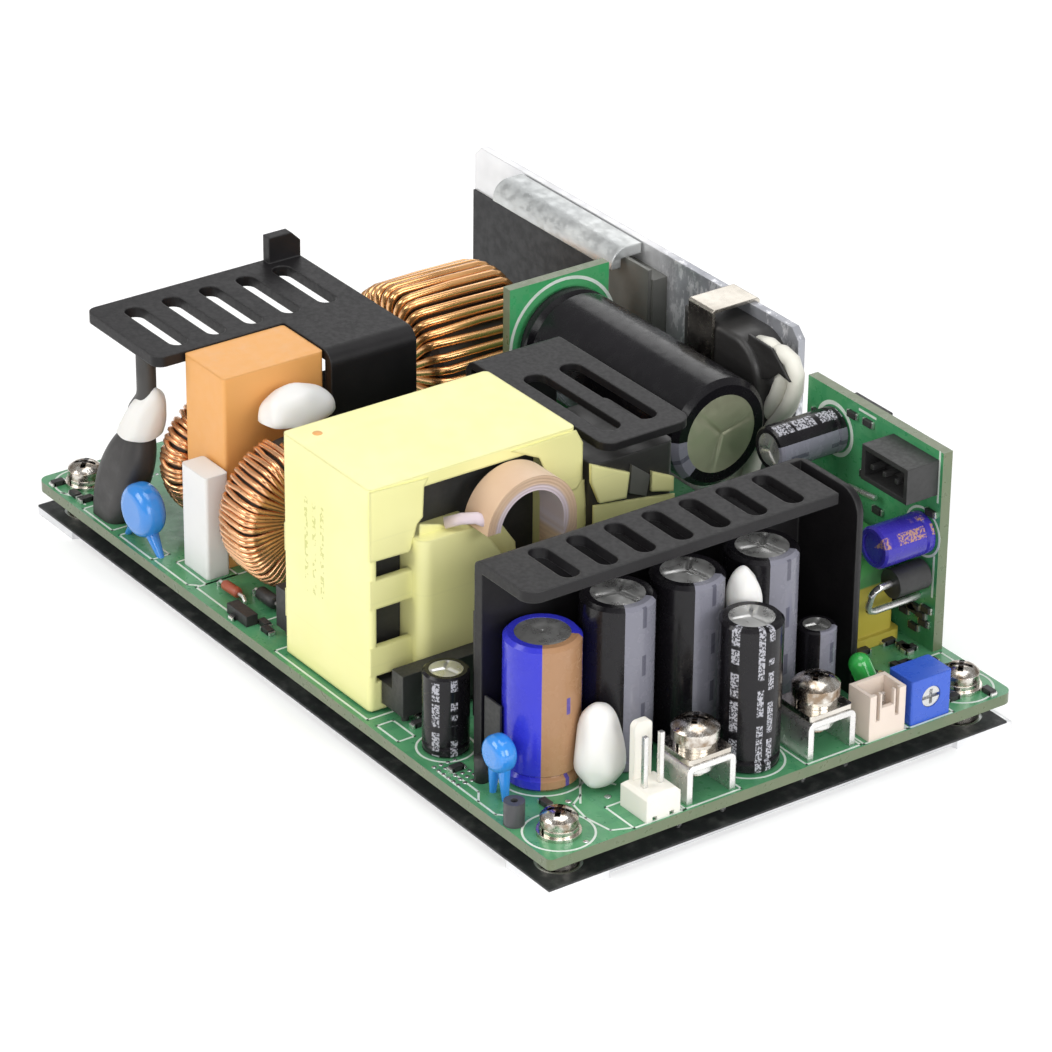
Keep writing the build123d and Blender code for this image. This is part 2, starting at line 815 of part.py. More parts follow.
# Control socket: open-topped shell with a notched front
socket_y = 16.55
socket_depth = 4.5
socket_width = 6.0
socket_height = 6.7
socket_wall = 0.6
socket_floor = 1.6
notch_width = 2.0
notch_depth = 2.2
slit_width = 0.6
slit_depth = 4.0
slit_pitch = 3.2
socket_x = half_length - header_inset - socket_depth / 2
with BuildPart() as control_socket:
    with BuildSketch(Plane.XY.offset(deck)):
        with Locations((socket_x, socket_y)):
            Rectangle(socket_depth, socket_width)
    extrude(amount=socket_height)
    with BuildSketch(Plane.XY.offset(deck + socket_floor)):
        with Locations((socket_x, socket_y)):
            Rectangle(socket_depth - 2 * socket_wall, socket_width - 2 * socket_wall)
    extrude(amount=socket_height - socket_floor, mode=Mode.SUBTRACT)
    with BuildSketch(Plane.YZ.offset(socket_x + socket_depth / 2)):
        with Locations((socket_y, deck + socket_height - notch_depth / 2)):
            Rectangle(notch_width, notch_depth)
        with Locations((socket_y, deck + socket_height - slit_depth / 2)):
            with GridLocations(slit_pitch, 1, 2, 1):
                Rectangle(slit_width, slit_depth)
    extrude(amount=-socket_wall, mode=Mode.SUBTRACT)
write(control_socket, "control_socket")

# Square pins of the three connectors, standing on their bases
output_pin_side = 0.64
output_pin_height = 7.4
output_pin_shift = 0.3
input_pin_side = 1.1
input_pin_pitch = 7.92
input_pin_height = 7.4
input_pin_shift = 0.6
socket_pin_side = 0.5
socket_pin_pitch = 2.0
socket_pin_height = 3.6
with BuildPart() as header_pins:
    with BuildSketch(Plane.XY.offset(deck + output_header_base)):
        with Locations((output_header_x + output_pin_shift, output_header_y)):
            with GridLocations(1, lead_pitch, 1, 2):
                Rectangle(output_pin_side, output_pin_side)
    extrude(amount=output_pin_height)
    with BuildSketch(Plane.XY.offset(deck + input_header_base)):
        with Locations((input_header_x + input_pin_shift, input_header_y)):
            with GridLocations(1, input_pin_pitch, 1, 2):
                Rectangle(input_pin_side, input_pin_side)
    extrude(amount=input_pin_height)
    with BuildSketch(Plane.XY.offset(deck + socket_floor)):
        with Locations((socket_x, socket_y)):
            with GridLocations(1, socket_pin_pitch, 1, 2):
                Rectangle(socket_pin_side, socket_pin_side)
    extrude(amount=socket_pin_height)
write(header_pins, "header_pins")

# Input fuse: tube with two end caps, lying along the board's end
fuse_inset = 5.5
fuse_x = fuse_inset - half_length
fuse_start = 8.0
fuse_length = 15.0
fuse_radius = 2.3
fuse_cap_radius = 2.6
fuse_cap_length = 3.4
with BuildPart() as input_fuse:
    fuse_end = Plane(origin=(fuse_x, fuse_start, deck + fuse_cap_radius), x_dir=(1, 0, 0), z_dir=(0, 1, 0))
    with BuildSketch(fuse_end):
        Circle(fuse_radius)
    extrude(amount=fuse_length)
    with BuildSketch(fuse_end, fuse_end.offset(fuse_length - fuse_cap_length)):
        Circle(fuse_cap_radius)
    extrude(amount=fuse_cap_length)
write(input_fuse, "input_fuse")

# Transformer: taped core with a recess at each end, the taped winding standing in it
core_left = -0.5
core_right = 20.2
core_near = -36.3
core_far = -3.3
core_low = 0.3
core_top = 33.2
core_corner = 0.8
recess_depth = 4.0
recess_near = -35.2
recess_far = -8.2
recess_low = 4.5
recess_top = 31.4
column_near = -29.6
column_far = -10.2
column_top = 24.5
column_shoulder = -20.4
column_shoulder_low = 10.0
column_reach = 2.3
band_thickness = 1.0
band_width = 7.0
band_height = 4.2
band_levels = [7.6, 17.6]
bobbin_flange = 1.2
bobbin_rail_reach = 5.0
bobbin_rail_low = 1.2
bobbin_rail_top = 7.4
bobbin_near = -34.4
bobbin_far = -6.0
bobbin_slab_top = 4.5
foot_pitch = 5.2
foot_radius = 0.5
bobbin_gap = 0.1
core_x_middle = (core_left + core_right) / 2
with BuildPart() as transformer_body:
    with BuildSketch(Plane.XY.offset(deck + core_low)):
        with Locations((core_x_middle, (core_near + core_far) / 2)):
            Rectangle(core_right - core_left, core_far - core_near)
    extrude(amount=core_top - core_low)
    fillet(transformer_body.edges().filter_by(Axis.Z), core_corner)
    for end_face, inward in ((core_right, -1), (core_left, 1)):
        with BuildSketch(Plane.YZ.offset(end_face)):
            with Locations(((recess_near + recess_far) / 2, deck + (recess_low + recess_top) / 2)):
                Rectangle(recess_far - recess_near, recess_top - recess_low)
        extrude(amount=inward * recess_depth, mode=Mode.SUBTRACT)
        with BuildSketch(Plane.YZ.offset(end_face + inward * (recess_depth - bobbin_flange))):
            with BuildLine():
                Polyline(
                    (column_near, deck + recess_low),
                    (column_far, deck + recess_low),
                    (column_far, deck + column_shoulder_low),
                    (column_shoulder, deck + column_top),
                    (column_near, deck + column_top),
                    close=True,
                )
            make_face()
        extrude(amount=-inward * (recess_depth - bobbin_flange + column_reach))
        with BuildSketch(Plane.YZ.offset(end_face)):
            with Locations(*[(column_near - band_width / 2 + 0.5, deck + level) for level in band_levels]):
                Rectangle(band_width, band_height)
        extrude(amount=inward * band_thickness)
    column_edges = transformer_body.edges().filter_by(Axis.Z).filter_by_position(
        Axis.Y, column_near - 0.1, column_far + 0.1)
    outer_edges = column_edges.group_by(Axis.X)
    fillet(outer_edges[0] + outer_edges[-1], column_reach * 0.8)
    with BuildSketch(Plane.YZ.offset(core_left - column_reach)):
        slab_middle = deck + (bobbin_rail_low + bobbin_slab_top) / 2
        with Locations(((bobbin_near + bobbin_far) / 2, slab_middle)):
            Rectangle(bobbin_far - bobbin_near, bobbin_slab_top - bobbin_rail_low)
    extrude(amount=core_right - core_left + 2 * column_reach, mode=Mode.SUBTRACT)
write(transformer_body, "transformer_body")

# Bobbin: slab through the core, a flange in each recess and a pin rail at each end
with BuildPart() as transformer_bobbin:
    with BuildSketch(Plane.XY.offset(deck + bobbin_rail_low)):
        with Locations((core_x_middle, (bobbin_near + bobbin_far) / 2)):
            Rectangle(core_right - core_left + 2 * bobbin_rail_reach, bobbin_far - bobbin_near)
    extrude(amount=bobbin_slab_top - bobbin_rail_low)
    rail_start = column_reach + bobbin_gap
    rail_width = bobbin_rail_reach - rail_start
    with BuildSketch(Plane.XY.offset(deck + bobbin_rail_low)):
        for rail_x in (core_left - rail_start - rail_width / 2, core_right + rail_start + rail_width / 2):
            with Locations((rail_x, (bobbin_near + bobbin_far) / 2)):
                Rectangle(rail_width, bobbin_far - bobbin_near)
    extrude(amount=bobbin_rail_top - bobbin_rail_low)
    for flange_x in (core_left + recess_depth - bobbin_flange, core_right - recess_depth):
        with BuildSketch(Plane.YZ.offset(flange_x)):
            with Locations(((recess_near + recess_far) / 2, deck + (recess_low + recess_top) / 2)):
                Rectangle(recess_far - recess_near, recess_top - recess_low)
        extrude(amount=bobbin_flange)
    with BuildSketch(Plane.XY.offset(deck)):
        with Locations((core_x_middle, (bobbin_near + bobbin_far) / 2)):
            with GridLocations(core_right - core_left + 2 * rail_start + rail_width, foot_pitch, 2, 6):
                Circle(foot_radius)
    extrude(amount=bobbin_rail_low)
write(transformer_bobbin, "transformer_bobbin")

# Flat wound lead that arches out of the transformer's upper opening
arch_y = -14.4
arch_z = 24.2
arch_outer = 7.2
arch_inner = 5.1
arch_start = 0.3
arch_width = 5.5
arch_foot = 8.0
arch_seat = 0.2
with BuildPart() as transformer_lead:
    with BuildSketch(Plane.YZ.offset(core_right + arch_start)) as band:
        with Locations((arch_y, deck + arch_z)):
            Circle(arch_outer)
            Circle(arch_inner, mode=Mode.SUBTRACT)
        with Locations((arch_y, deck + arch_z - arch_outer)):
            Rectangle(2 * arch_outer, 2 * arch_outer, mode=Mode.SUBTRACT)
        with Locations((arch_y + (arch_outer + arch_inner) / 2, deck + (arch_z + arch_foot) / 2)):
            Rectangle(arch_outer - arch_inner, arch_z - arch_foot)
        with Locations((arch_y - arch_outer, deck + (arch_foot + column_top + arch_seat) / 2)):
            Rectangle(arch_outer, column_top + arch_seat - arch_foot, mode=Mode.SUBTRACT)
    extrude(amount=arch_width)
write(transformer_lead, "transformer_lead")

# Middle heatsink: slotted top over the taped choke, one leg folded down
middle_left = -9.0
middle_right = 23.4
middle_near = -0.8
middle_far = 13.8
middle_top = 31.0
middle_slot_length = 19.9
middle_slot_width = 3.5
middle_slot_x = 10.25
middle_slot_pitch = 6.0
middle_slot_shift = 0.3
middle_sheet = 1.2
with BuildPart() as middle_heatsink:
    with BuildSketch(Plane.XY.offset(deck + middle_top - middle_sheet)) as top_sheet:
        with Locations(((middle_left + middle_right) / 2, (middle_near + middle_far) / 2)):
            Rectangle(middle_right - middle_left, middle_far - middle_near)
        fillet(top_sheet.vertices().group_by(Axis.X)[-1], sink_bend)
        with Locations((middle_slot_x, (middle_near + middle_far) / 2 - middle_slot_shift)):
            with GridLocations(1, middle_slot_pitch, 1, 2):
                SlotOverall(middle_slot_length, middle_slot_width, mode=Mode.SUBTRACT)
    extrude(amount=middle_sheet)
    with BuildSketch(Plane.XY.offset(deck)):
        with Locations((middle_left + middle_sheet / 2, (middle_near + middle_far) / 2)):
            Rectangle(middle_sheet, middle_far - middle_near)
    extrude(amount=middle_top)
    leg_edges = middle_heatsink.edges().filter_by(Axis.Y)
    fillet(leg_edges.sort_by_distance((middle_left, 0, deck + middle_top))[0], sink_bend)
write(middle_heatsink, "middle_heatsink")

# Taped choke under its free end
choke_end_inset = 1.6
taped_choke_length = 16.0
taped_choke_width = 13.6
taped_choke_near = -1.6
taped_choke_top = 27.6
taped_choke_edge = 1.2
taped_choke_right = middle_right - choke_end_inset
taped_choke = block(
    (taped_choke_right - taped_choke_length, taped_choke_right),
    (taped_choke_near, taped_choke_near + taped_choke_width),
    (0, taped_choke_top),
    taped_choke_edge,
)
write(taped_choke, "taped_choke")

# Standby transformer beside the daughter board: taped block on a wider foot
standby_left = 27.0
standby_right = 42.8
standby_near = 23.6
standby_far = 34.2
standby_height = 14.6
standby_foot = 1.6
standby_rim = 0.7
standby_edge = 1.0
with BuildPart() as standby_transformer:
    add(block(
        (standby_left - standby_rim, standby_right + standby_rim),
        (standby_near - standby_rim, standby_far + standby_rim),
        (0, standby_foot),
        standby_edge,
    ).part)
    add(block(
        (standby_left, standby_right),
        (standby_near, standby_far),
        (standby_foot, standby_height),
        standby_edge,
    ).part)
write(standby_transformer, "standby_transformer")

# Upright capacitor board and the bulk capacitor that lies on it
board_face = -20.0
bulk_gap = 1.0
bulk_z = 23.2
bulk_diameter = 16.0
bulk_length = 37.0
bulk_y = taped_front - bulk_gap - bulk_diameter / 2
upright_thickness = 1.6
upright_height = 32.9
upright_near_reach = 9.3
upright_far_reach = 7.9
capacitor_board = block(
    (board_face - upright_thickness, board_face),
    (bulk_y - upright_near_reach, bulk_y + upright_far_reach),
    (0, upright_height),
)
write(capacitor_board, "capacitor_board")
bulk_base = Plane(origin=(board_face, bulk_y, deck + bulk_z), x_dir=(0, 1, 0), z_dir=(1, 0, 0))
bulk_capacitor = can_capacitor(bulk_base, bulk_diameter, bulk_length)
write(bulk_capacitor, "bulk_capacitor")

# Output heatsink: upright sheet with a slotted flange folded over and an end plate folded out
output_left = 38.0
output_near = -32.0
output_far = 21.0
output_top = 30.0
flange_reach = 12.0
flange_far = 17.5
end_reach = 13.8
end_round = 3.5
top_fold_round = 1.2
output_slot_length = 9.2
output_slot_x = 44.5
output_slot_start = -24.3
output_slot_pitch = 6.0
output_slot_count = 7
with BuildPart() as output_heatsink:
    with BuildSketch(Plane.XY.offset(deck + output_top - sink_sheet)) as flange:
        with Locations((output_left + flange_reach / 2, (output_near + flange_far) / 2)):
            Rectangle(flange_reach, flange_far - output_near)
        near_right = flange.vertices().sort_by_distance((output_left + flange_reach, output_near))[0]
        fillet(near_right, sink_bend)
        slots_middle = output_slot_start + output_slot_pitch * (output_slot_count - 1) / 2
        with Locations((output_slot_x, slots_middle)):
            with GridLocations(1, output_slot_pitch, 1, output_slot_count):
                SlotOverall(output_slot_length, slot_width, mode=Mode.SUBTRACT)
    extrude(amount=sink_sheet)
    with BuildSketch(Plane.XY.offset(deck)) as upright_sheet:
        with Locations((output_left + sink_sheet / 2, (output_near + output_far) / 2)):
            Rectangle(sink_sheet, output_far - output_near)
        with Locations((output_left + end_reach / 2, output_far - sink_sheet / 2)):
            Rectangle(end_reach, sink_sheet)
        fillet(upright_sheet.vertices().sort_by_distance((output_left, output_far))[0], sink_bend)
    extrude(amount=output_top)
    plate_corner = output_heatsink.edges().filter_by(Axis.Y).sort_by_distance(
        (output_left + end_reach, output_far, deck + output_top))[0]
    fillet(plate_corner, end_round)
    top_fold = output_heatsink.edges().filter_by(Axis.Y)
    fillet(top_fold.sort_by_distance((output_left, 0, deck + output_top))[0], top_fold_round)
write(output_heatsink, "output_heatsink")

# Output rectifiers clamped behind the upright sheet
rectifier_y = [-24.0, -9.0, 6.0]
rectifier_width = 10.2
rectifier_thickness = 4.4
rectifier_low = 4.0
rectifier_top = 19.5
with BuildPart() as output_rectifiers:
    for spot in rectifier_y:
        with BuildSketch(Plane.XY.offset(deck + rectifier_low)):
            with Locations((output_left - rectifier_thickness / 2, spot)):
                Rectangle(rectifier_thickness, rectifier_width)
        extrude(amount=rectifier_top - rectifier_low)
        with BuildSketch(Plane.XY.offset(deck)):
            with Locations((output_left - rectifier_thickness / 2, spot)):
                with GridLocations(1, lead_pitch, 1, 3):
                    Rectangle(lead_thickness, lead_width)
        extrude(amount=rectifier_low)
write(output_rectifiers, "output_rectifiers")

# Electrolytic capacitors that stand on the board
def standing_can(x, y, diameter, length):
    """Can capacitor whose middle stands over this spot of the board."""
    return can_capacitor(Plane(origin=(x, y, deck)), diameter, length)


output_can_diameter = 10.0
output_can_length = 24.3
output_can_spots = [(47.0, -15.9), (47.3, -5.0), (47.3, 7.2)]
with BuildPart() as output_capacitors:
    for spot in output_can_spots:
        add(standing_can(spot[0], spot[1], output_can_diameter, output_can_length).part)
write(output_capacitors, "output_capacitors")

bronze_spot = (45.2, -26.4)
bronze_diameter = 10.3
bronze_length = 21.0
bronze_capacitor = standing_can(bronze_spot[0], bronze_spot[1], bronze_diameter, bronze_length)
write(bronze_capacitor, "bronze_capacitor")

front_can_y = -2.2
front_can_diameter = 8.5
front_can_length = 21.3
front_can_x = half_length - 1.8 - front_can_diameter / 2
front_capacitor = standing_can(front_can_x, front_can_y, front_can_diameter, front_can_length)
write(front_capacitor, "front_capacitor")

rear_spot = (50.6, 14.3)
rear_diameter = 5.3
rear_length = 11.8
rear_capacitor = standing_can(rear_spot[0], rear_spot[1], rear_diameter, rear_length)
write(rear_capacitor, "rear_capacitor")

start_spot = (32.8, -32.8)
start_diameter = 6.3
start_length = 11.8
start_capacitor = standing_can(start_spot[0], start_spot[1], start_diameter, start_length)
write(start_capacitor, "start_capacitor")

# Ferrite bead on a lead at the near corner
bead_radius = 1.4
bead_bore = 0.5
bead_height = 3.4
bead_from_end = 10.0
bead_from_edge = 0.2
bead_spot = (half_length - bead_from_end, bead_from_edge + bead_radius - half_width)
with BuildPart() as ferrite_bead:
    with BuildSketch(Plane.XY.offset(deck)):
        with Locations(bead_spot):
            Circle(bead_radius)
            Circle(bead_bore, mode=Mode.SUBTRACT)
    extrude(amount=bead_height)
write(ferrite_bead, "ferrite_bead")

# Screw terminals: folded frame, square plate, spring washer and screw at each
terminal_y = [-11.9, 7.8]
terminal_inset = 1.0
frame_depth = 6.6
frame_width = 7.8
frame_sheet = 0.9
frame_bend = 1.1
frame_height = 5.5
frame_x = half_length - terminal_inset - frame_depth / 2
collar_radius = 2.5
collar_low = 3.0
terminal_screw_x = frame_x - 0.4
terminal_plate_side = 7.0
terminal_plate_corner = 0.5
terminal_plate_thickness = 0.8
terminal_screw_radius = 1.7
terminal_washer_radius = 2.9
terminal_washer_thickness = 1.1
terminal_head_radius = 3.2
terminal_head_height = 2.7
terminal_screw_low = 2.0
terminal_bore = terminal_screw_radius + thread_clearance
with BuildPart() as terminal_frames:
    for spot in terminal_y:
        with BuildSketch(Plane.YZ.offset(frame_x - frame_depth / 2)) as bridge:
            with Locations((spot, deck + frame_height / 2)):
                Rectangle(frame_width, frame_height)
            fillet(bridge.vertices().group_by(Axis.Y)[-1], frame_bend)
            with Locations((spot, deck + (frame_height - frame_sheet) / 2)):
                Rectangle(frame_width - 2 * frame_sheet, frame_height - frame_sheet, mode=Mode.SUBTRACT)
        extrude(amount=frame_depth)
        with BuildSketch(Plane.XY.offset(deck + collar_low)):
            with Locations((terminal_screw_x, spot)):
                Circle(collar_radius)
        extrude(amount=frame_height - collar_low)
        with BuildSketch(Plane.XY.offset(deck + collar_low)):
            with Locations((terminal_screw_x, spot)):
                Circle(terminal_bore)
        extrude(amount=frame_height - collar_low, mode=Mode.SUBTRACT)
write(terminal_frames, "terminal_frames")

terminal_spots = [(terminal_screw_x, spot) for spot in terminal_y]
with BuildPart() as terminal_plates:
    with BuildSketch(Plane.XY.offset(deck + frame_height)):
        with Locations(*terminal_spots):
            RectangleRounded(terminal_plate_side, terminal_plate_side, terminal_plate_corner)
            Circle(terminal_screw_radius + washer_bore_radius - screw_radius, mode=Mode.SUBTRACT)
    extrude(amount=terminal_plate_thickness)
write(terminal_plates, "terminal_plates")

# Split spring washers under the corner screws and the terminal screws
terminal_washer_seat = deck + frame_height + terminal_plate_thickness
with BuildPart() as spring_washers:
    for spots, low, radius, bore, thickness in (
        (corner_spots, spring_seat, spring_washer_radius, screw_radius, spring_washer_thickness),
        (
            terminal_spots,
            terminal_washer_seat,
            terminal_washer_radius,
            terminal_screw_radius,
            terminal_washer_thickness,
        ),
    ):
        with BuildSketch(Plane.XY.offset(low)):
            with Locations(*spots):
                Circle(radius)
                Circle(bore + washer_bore_radius - screw_radius, mode=Mode.SUBTRACT)
                with Locations((0, -radius)):
                    Rectangle(spring_washer_gap, 2 * radius, mode=Mode.SUBTRACT)
        extrude(amount=thickness)
write(spring_washers, "spring_washers")

terminal_seat = terminal_washer_seat + terminal_washer_thickness
terminal_screws = pan_screw(
    terminal_spots,
    terminal_seat,
    terminal_head_radius,
    terminal_head_height,
    terminal_screw_radius,
    terminal_seat - deck - terminal_screw_low,
)
write(terminal_screws, "terminal_screws")

# Trimmer: blue body with a slotted rotor that turns in its front face
trimmer_inset = 0.5
trimmer_depth = 4.9
trimmer_x = (half_length - trimmer_inset - trimmer_depth, half_length - trimmer_inset)
trimmer_y = (20.7, 27.4)
trimmer_height = 6.6
trimmer_edge = 0.3
rotor_z = 3.5
rotor_radius = 1.5
rotor_clearance = 0.05
rotor_length = 1.9
rotor_sunk = 0.1
rotor_slot = 0.5
rotor_slot_depth = 0.7
rotor_y = (trimmer_y[0] + trimmer_y[1]) / 2
rotor_face = Plane(origin=(trimmer_x[1], rotor_y, deck + rotor_z), x_dir=(0, 1, 0), z_dir=(1, 0, 0))
trimmer_body = block(trimmer_x, trimmer_y, (0, trimmer_height), trimmer_edge)
with BuildPart() as rotor_pocket:
    with BuildSketch(rotor_face):
        Circle(rotor_radius + rotor_clearance)
    extrude(amount=-(rotor_sunk + rotor_length + rotor_clearance))
trimmer_body.part = trimmer_body.part - rotor_pocket.part
write(trimmer_body, "trimmer_body")

with BuildPart() as trimmer_rotor:
    with BuildSketch(rotor_face.offset(-rotor_sunk)):
        Circle(rotor_radius)
    extrude(amount=-rotor_length)
    with BuildSketch(rotor_face.offset(-rotor_sunk)):
        Rectangle(2 * rotor_radius, rotor_slot)
        Rectangle(rotor_slot, 1.4 * rotor_radius)
    extrude(amount=-rotor_slot_depth, mode=Mode.SUBTRACT)
write(trimmer_rotor, "trimmer_rotor")

# Green lamp, leaning on its two leads
lamp_radius = 1.55
lamp_flange_radius = 1.85
lamp_flange = 0.9
lamp_length = 5.0
lamp_lift = 2.4
lamp_from_end = 8.6
lamp_y = 20.3
lamp_lead_radius = 0.25
lamp_foot = (half_length - lamp_from_end, lamp_y, deck + lamp_lift)
lamp_plane = Plane(origin=lamp_foot, x_dir=(0, 1, 0), z_dir=(-0.42, -0.22, 0.88))
with BuildPart() as power_lamp:
    with BuildSketch(Plane(origin=lamp_plane.origin, x_dir=lamp_plane.x_dir, z_dir=-lamp_plane.y_dir)):
        with BuildLine():
            shoulder = lamp_length - lamp_radius
            outline = Polyline(
                (lamp_radius, shoulder),
                (lamp_radius, lamp_flange),
                (lamp_flange_radius, lamp_flange),
                (lamp_flange_radius, 0),
                (0, 0),
                (0, lamp_length),
            )
            RadiusArc(outline @ 1, outline @ 0, lamp_radius)
        make_face()
    revolve(axis=Axis(lamp_plane.origin, lamp_plane.z_dir))
    with BuildSketch(lamp_plane):
        with GridLocations(lead_pitch / 2, 1, 2, 1):
            Circle(lamp_lead_radius)
    extrude(amount=-lamp_lift)
write(power_lamp, "power_lamp")

# Daughter board, upright along the far edge
daughter_from_end = 14.4
daughter_length = 28.9
daughter_height = 30.1
daughter_edge_gap = 0.5
daughter_thickness = 1.6
daughter_right = half_length - daughter_from_end
daughter_left = daughter_right - daughter_length
daughter_back = half_width - daughter_edge_gap
daughter_face = daughter_back - daughter_thickness
daughter_board = block(
    (daughter_left, daughter_right), (daughter_face, daughter_back), (0, daughter_height)
)
write(daughter_board, "daughter_board")


def facing_out(from_right, z):
    """Plane on the daughter board's face, its z pointing to -Y."""
    spot = (daughter_right - from_right, daughter_face, deck + z)
    return Plane(origin=spot, x_dir=(1, 0, 0), z_dir=(0, -1, 0))


board_can_from_right = 22.8
board_can_height = 24.4
board_can_diameter = 6.5
board_can_length = 11.4
board_capacitor = can_capacitor(
    facing_out(board_can_from_right, board_can_height), board_can_diameter, board_can_length
)
write(board_capacitor, "board_capacitor")
violet_from_right = 3.4
violet_height = 17.0
violet_diameter = 6.0
violet_length = 8.6
violet_capacitor = can_capacitor(
    facing_out(violet_from_right, violet_height), violet_diameter, violet_length
)
write(violet_capacitor, "violet_capacitor")

# Diode on long leads: one goes straight into the daughter board, the other bends back to it
diode_from_right = 2.2
diode_height = 11.4
diode_radius = 2.1
diode_length = 5.4
diode_stand = 0.8
diode_lead_radius = 0.4
hairpin_reach = 3.0
hairpin_drop = 4.2
hairpin_lean = 1.2
hairpin_bend = 1.3
with BuildPart() as board_diode:
    diode_base = facing_out(diode_from_right, diode_height)
    with BuildSketch(diode_base.offset(diode_stand)):
        Circle(diode_radius)
    extrude(amount=diode_length)
    with BuildSketch(diode_base):
        Circle(diode_lead_radius)
    extrude(amount=diode_stand)
    with BuildLine() as hairpin:
        diode_x = daughter_right - diode_from_right
        diode_end = daughter_face - diode_stand - diode_length
        FilletPolyline(
            (diode_x, diode_end, deck + diode_height),
            (diode_x, diode_end - hairpin_reach, deck + diode_height),
            (diode_x - hairpin_lean, diode_end - hairpin_reach, deck + diode_height - hairpin_drop),
            (diode_x - hairpin_lean, daughter_face, deck + diode_height - hairpin_drop),
            radius=hairpin_bend,
        )
    with BuildSketch(Plane(origin=hairpin.line @ 0, z_dir=(0, -1, 0))):
        Circle(diode_lead_radius)
    sweep(path=hairpin.line)
write(board_diode, "board_diode")

# Boxed pin header on the daughter board, open to -Y
board_header_length = 9.6
board_header_height = 5.2
board_header_depth = 5.4
board_header_wall = 0.7
board_header_pocket = 3.6
board_header_from_right = 5.6
board_header_z = 26.2
with BuildPart() as board_header:
    header_base = facing_out(board_header_from_right, board_header_z)
    with BuildSketch(header_base):
        Rectangle(board_header_length, board_header_height)
    extrude(amount=board_header_depth)
    with BuildSketch(header_base.offset(board_header_depth)):
        Rectangle(
            board_header_length - 2 * board_header_wall, board_header_height - 2 * board_header_wall
        )
    extrude(amount=-board_header_pocket, mode=Mode.SUBTRACT)
    with BuildSketch(header_base.offset(board_header_depth - board_header_pocket)):
        with GridLocations(lead_pitch, 1, 3, 1):
            Rectangle(output_pin_side, output_pin_side)
    extrude(amount=board_header_pocket)
write(board_header, "board_header")

# Small parts: a chip on the daughter board's back, one at the near edge, a plate by the heatsink
chip_left_inset = 6.4
chip_length = 7.7
chip_depth = 1.8
chip_height = 4.6
chip_drop = 1.0
edge_chip_x = (-14.0, -9.0)
edge_chip_width = 1.8
edge_chip_inset = 1.1
edge_chip_height = 1.6
side_plate_x = (40.3, 43.8)
side_plate_z = (2.0, 11.0)
side_plate_thickness = 0.3
side_plate_gap = 0.1
with BuildPart() as small_board_parts:
    chip_left = daughter_left + chip_left_inset
    chip_top = daughter_height - chip_drop
    add(block(
        (chip_left, chip_left + chip_length),
        (daughter_back, daughter_back + chip_depth),
        (chip_top - chip_height, chip_top),
    ).part)
    edge_chip_near = edge_chip_inset - half_width
    add(block(edge_chip_x, (edge_chip_near, edge_chip_near + edge_chip_width), (0, edge_chip_height)).part)
    side_plate_far = bronze_spot[1] - bronze_diameter / 2 - side_plate_gap
    add(block(side_plate_x, (side_plate_far - side_plate_thickness, side_plate_far), side_plate_z).part)
write(small_board_parts, "small_board_parts")
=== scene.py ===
import math
import random

import bmesh
import bpy
from mathutils import Matrix, Vector, noise


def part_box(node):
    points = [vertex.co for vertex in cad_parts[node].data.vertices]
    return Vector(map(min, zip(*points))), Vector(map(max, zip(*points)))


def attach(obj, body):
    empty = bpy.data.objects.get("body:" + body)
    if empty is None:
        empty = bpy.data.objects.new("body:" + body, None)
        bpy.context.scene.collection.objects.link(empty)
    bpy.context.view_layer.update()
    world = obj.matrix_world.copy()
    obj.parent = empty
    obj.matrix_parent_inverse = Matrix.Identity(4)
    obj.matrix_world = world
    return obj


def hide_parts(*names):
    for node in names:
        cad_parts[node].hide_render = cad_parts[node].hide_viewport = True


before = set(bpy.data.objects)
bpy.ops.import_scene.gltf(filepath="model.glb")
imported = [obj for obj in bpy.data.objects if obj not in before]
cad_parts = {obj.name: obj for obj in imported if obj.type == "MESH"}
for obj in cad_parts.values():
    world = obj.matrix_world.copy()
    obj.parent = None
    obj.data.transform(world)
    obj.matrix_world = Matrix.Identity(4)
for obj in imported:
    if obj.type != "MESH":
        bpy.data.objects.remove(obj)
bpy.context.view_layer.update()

mm = 0.001
supply = "supply"
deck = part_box("main_board")[1].z  # the board's top, where the parts stand
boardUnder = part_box("main_board")[0].z
print("frame loaded:", len(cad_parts), "nodes")


# Short cuts for shader nodes
def feed(tree, socket, value):
    if isinstance(value, bpy.types.NodeSocket):
        tree.links.new(value, socket)
    elif socket.type == "RGBA":
        socket.default_value = (value[0], value[1], value[2], 1)
    else:
        socket.default_value = value


def mathNode(tree, operation, first, second=0.0, clamp=False):
    node = tree.nodes.new("ShaderNodeMath")
    node.operation = operation
    node.use_clamp = clamp
    feed(tree, node.inputs[0], first)
    feed(tree, node.inputs[1], second)
    return node.outputs[0]


def product(tree, first, *others):
    for factor in others:
        first = mathNode(tree, "MULTIPLY", first, factor)
    return first


def distanceFrom(tree, value, middle):
    return mathNode(tree, "ABSOLUTE", mathNode(tree, "SUBTRACT", value, middle))


def vectorNode(tree, operation, first, second=(0, 0, 0), value=False):
    node = tree.nodes.new("ShaderNodeVectorMath")
    node.operation = operation
    feed(tree, node.inputs[0], first)
    if operation not in ("NORMALIZE", "LENGTH"):
        feed(tree, node.inputs["Scale" if operation == "SCALE" else 1], second)
    return node.outputs["Value"] if value else node.outputs["Vector"]


def mixColour(tree, factor, first, second):
    node = tree.nodes.new("ShaderNodeMix")
    node.data_type = "RGBA"
    feed(tree, node.inputs[0], factor)
    feed(tree, node.inputs[6], first)  # 6 and 7 are the colour sockets of this node
    feed(tree, node.inputs[7], second)
    return node.outputs[2]


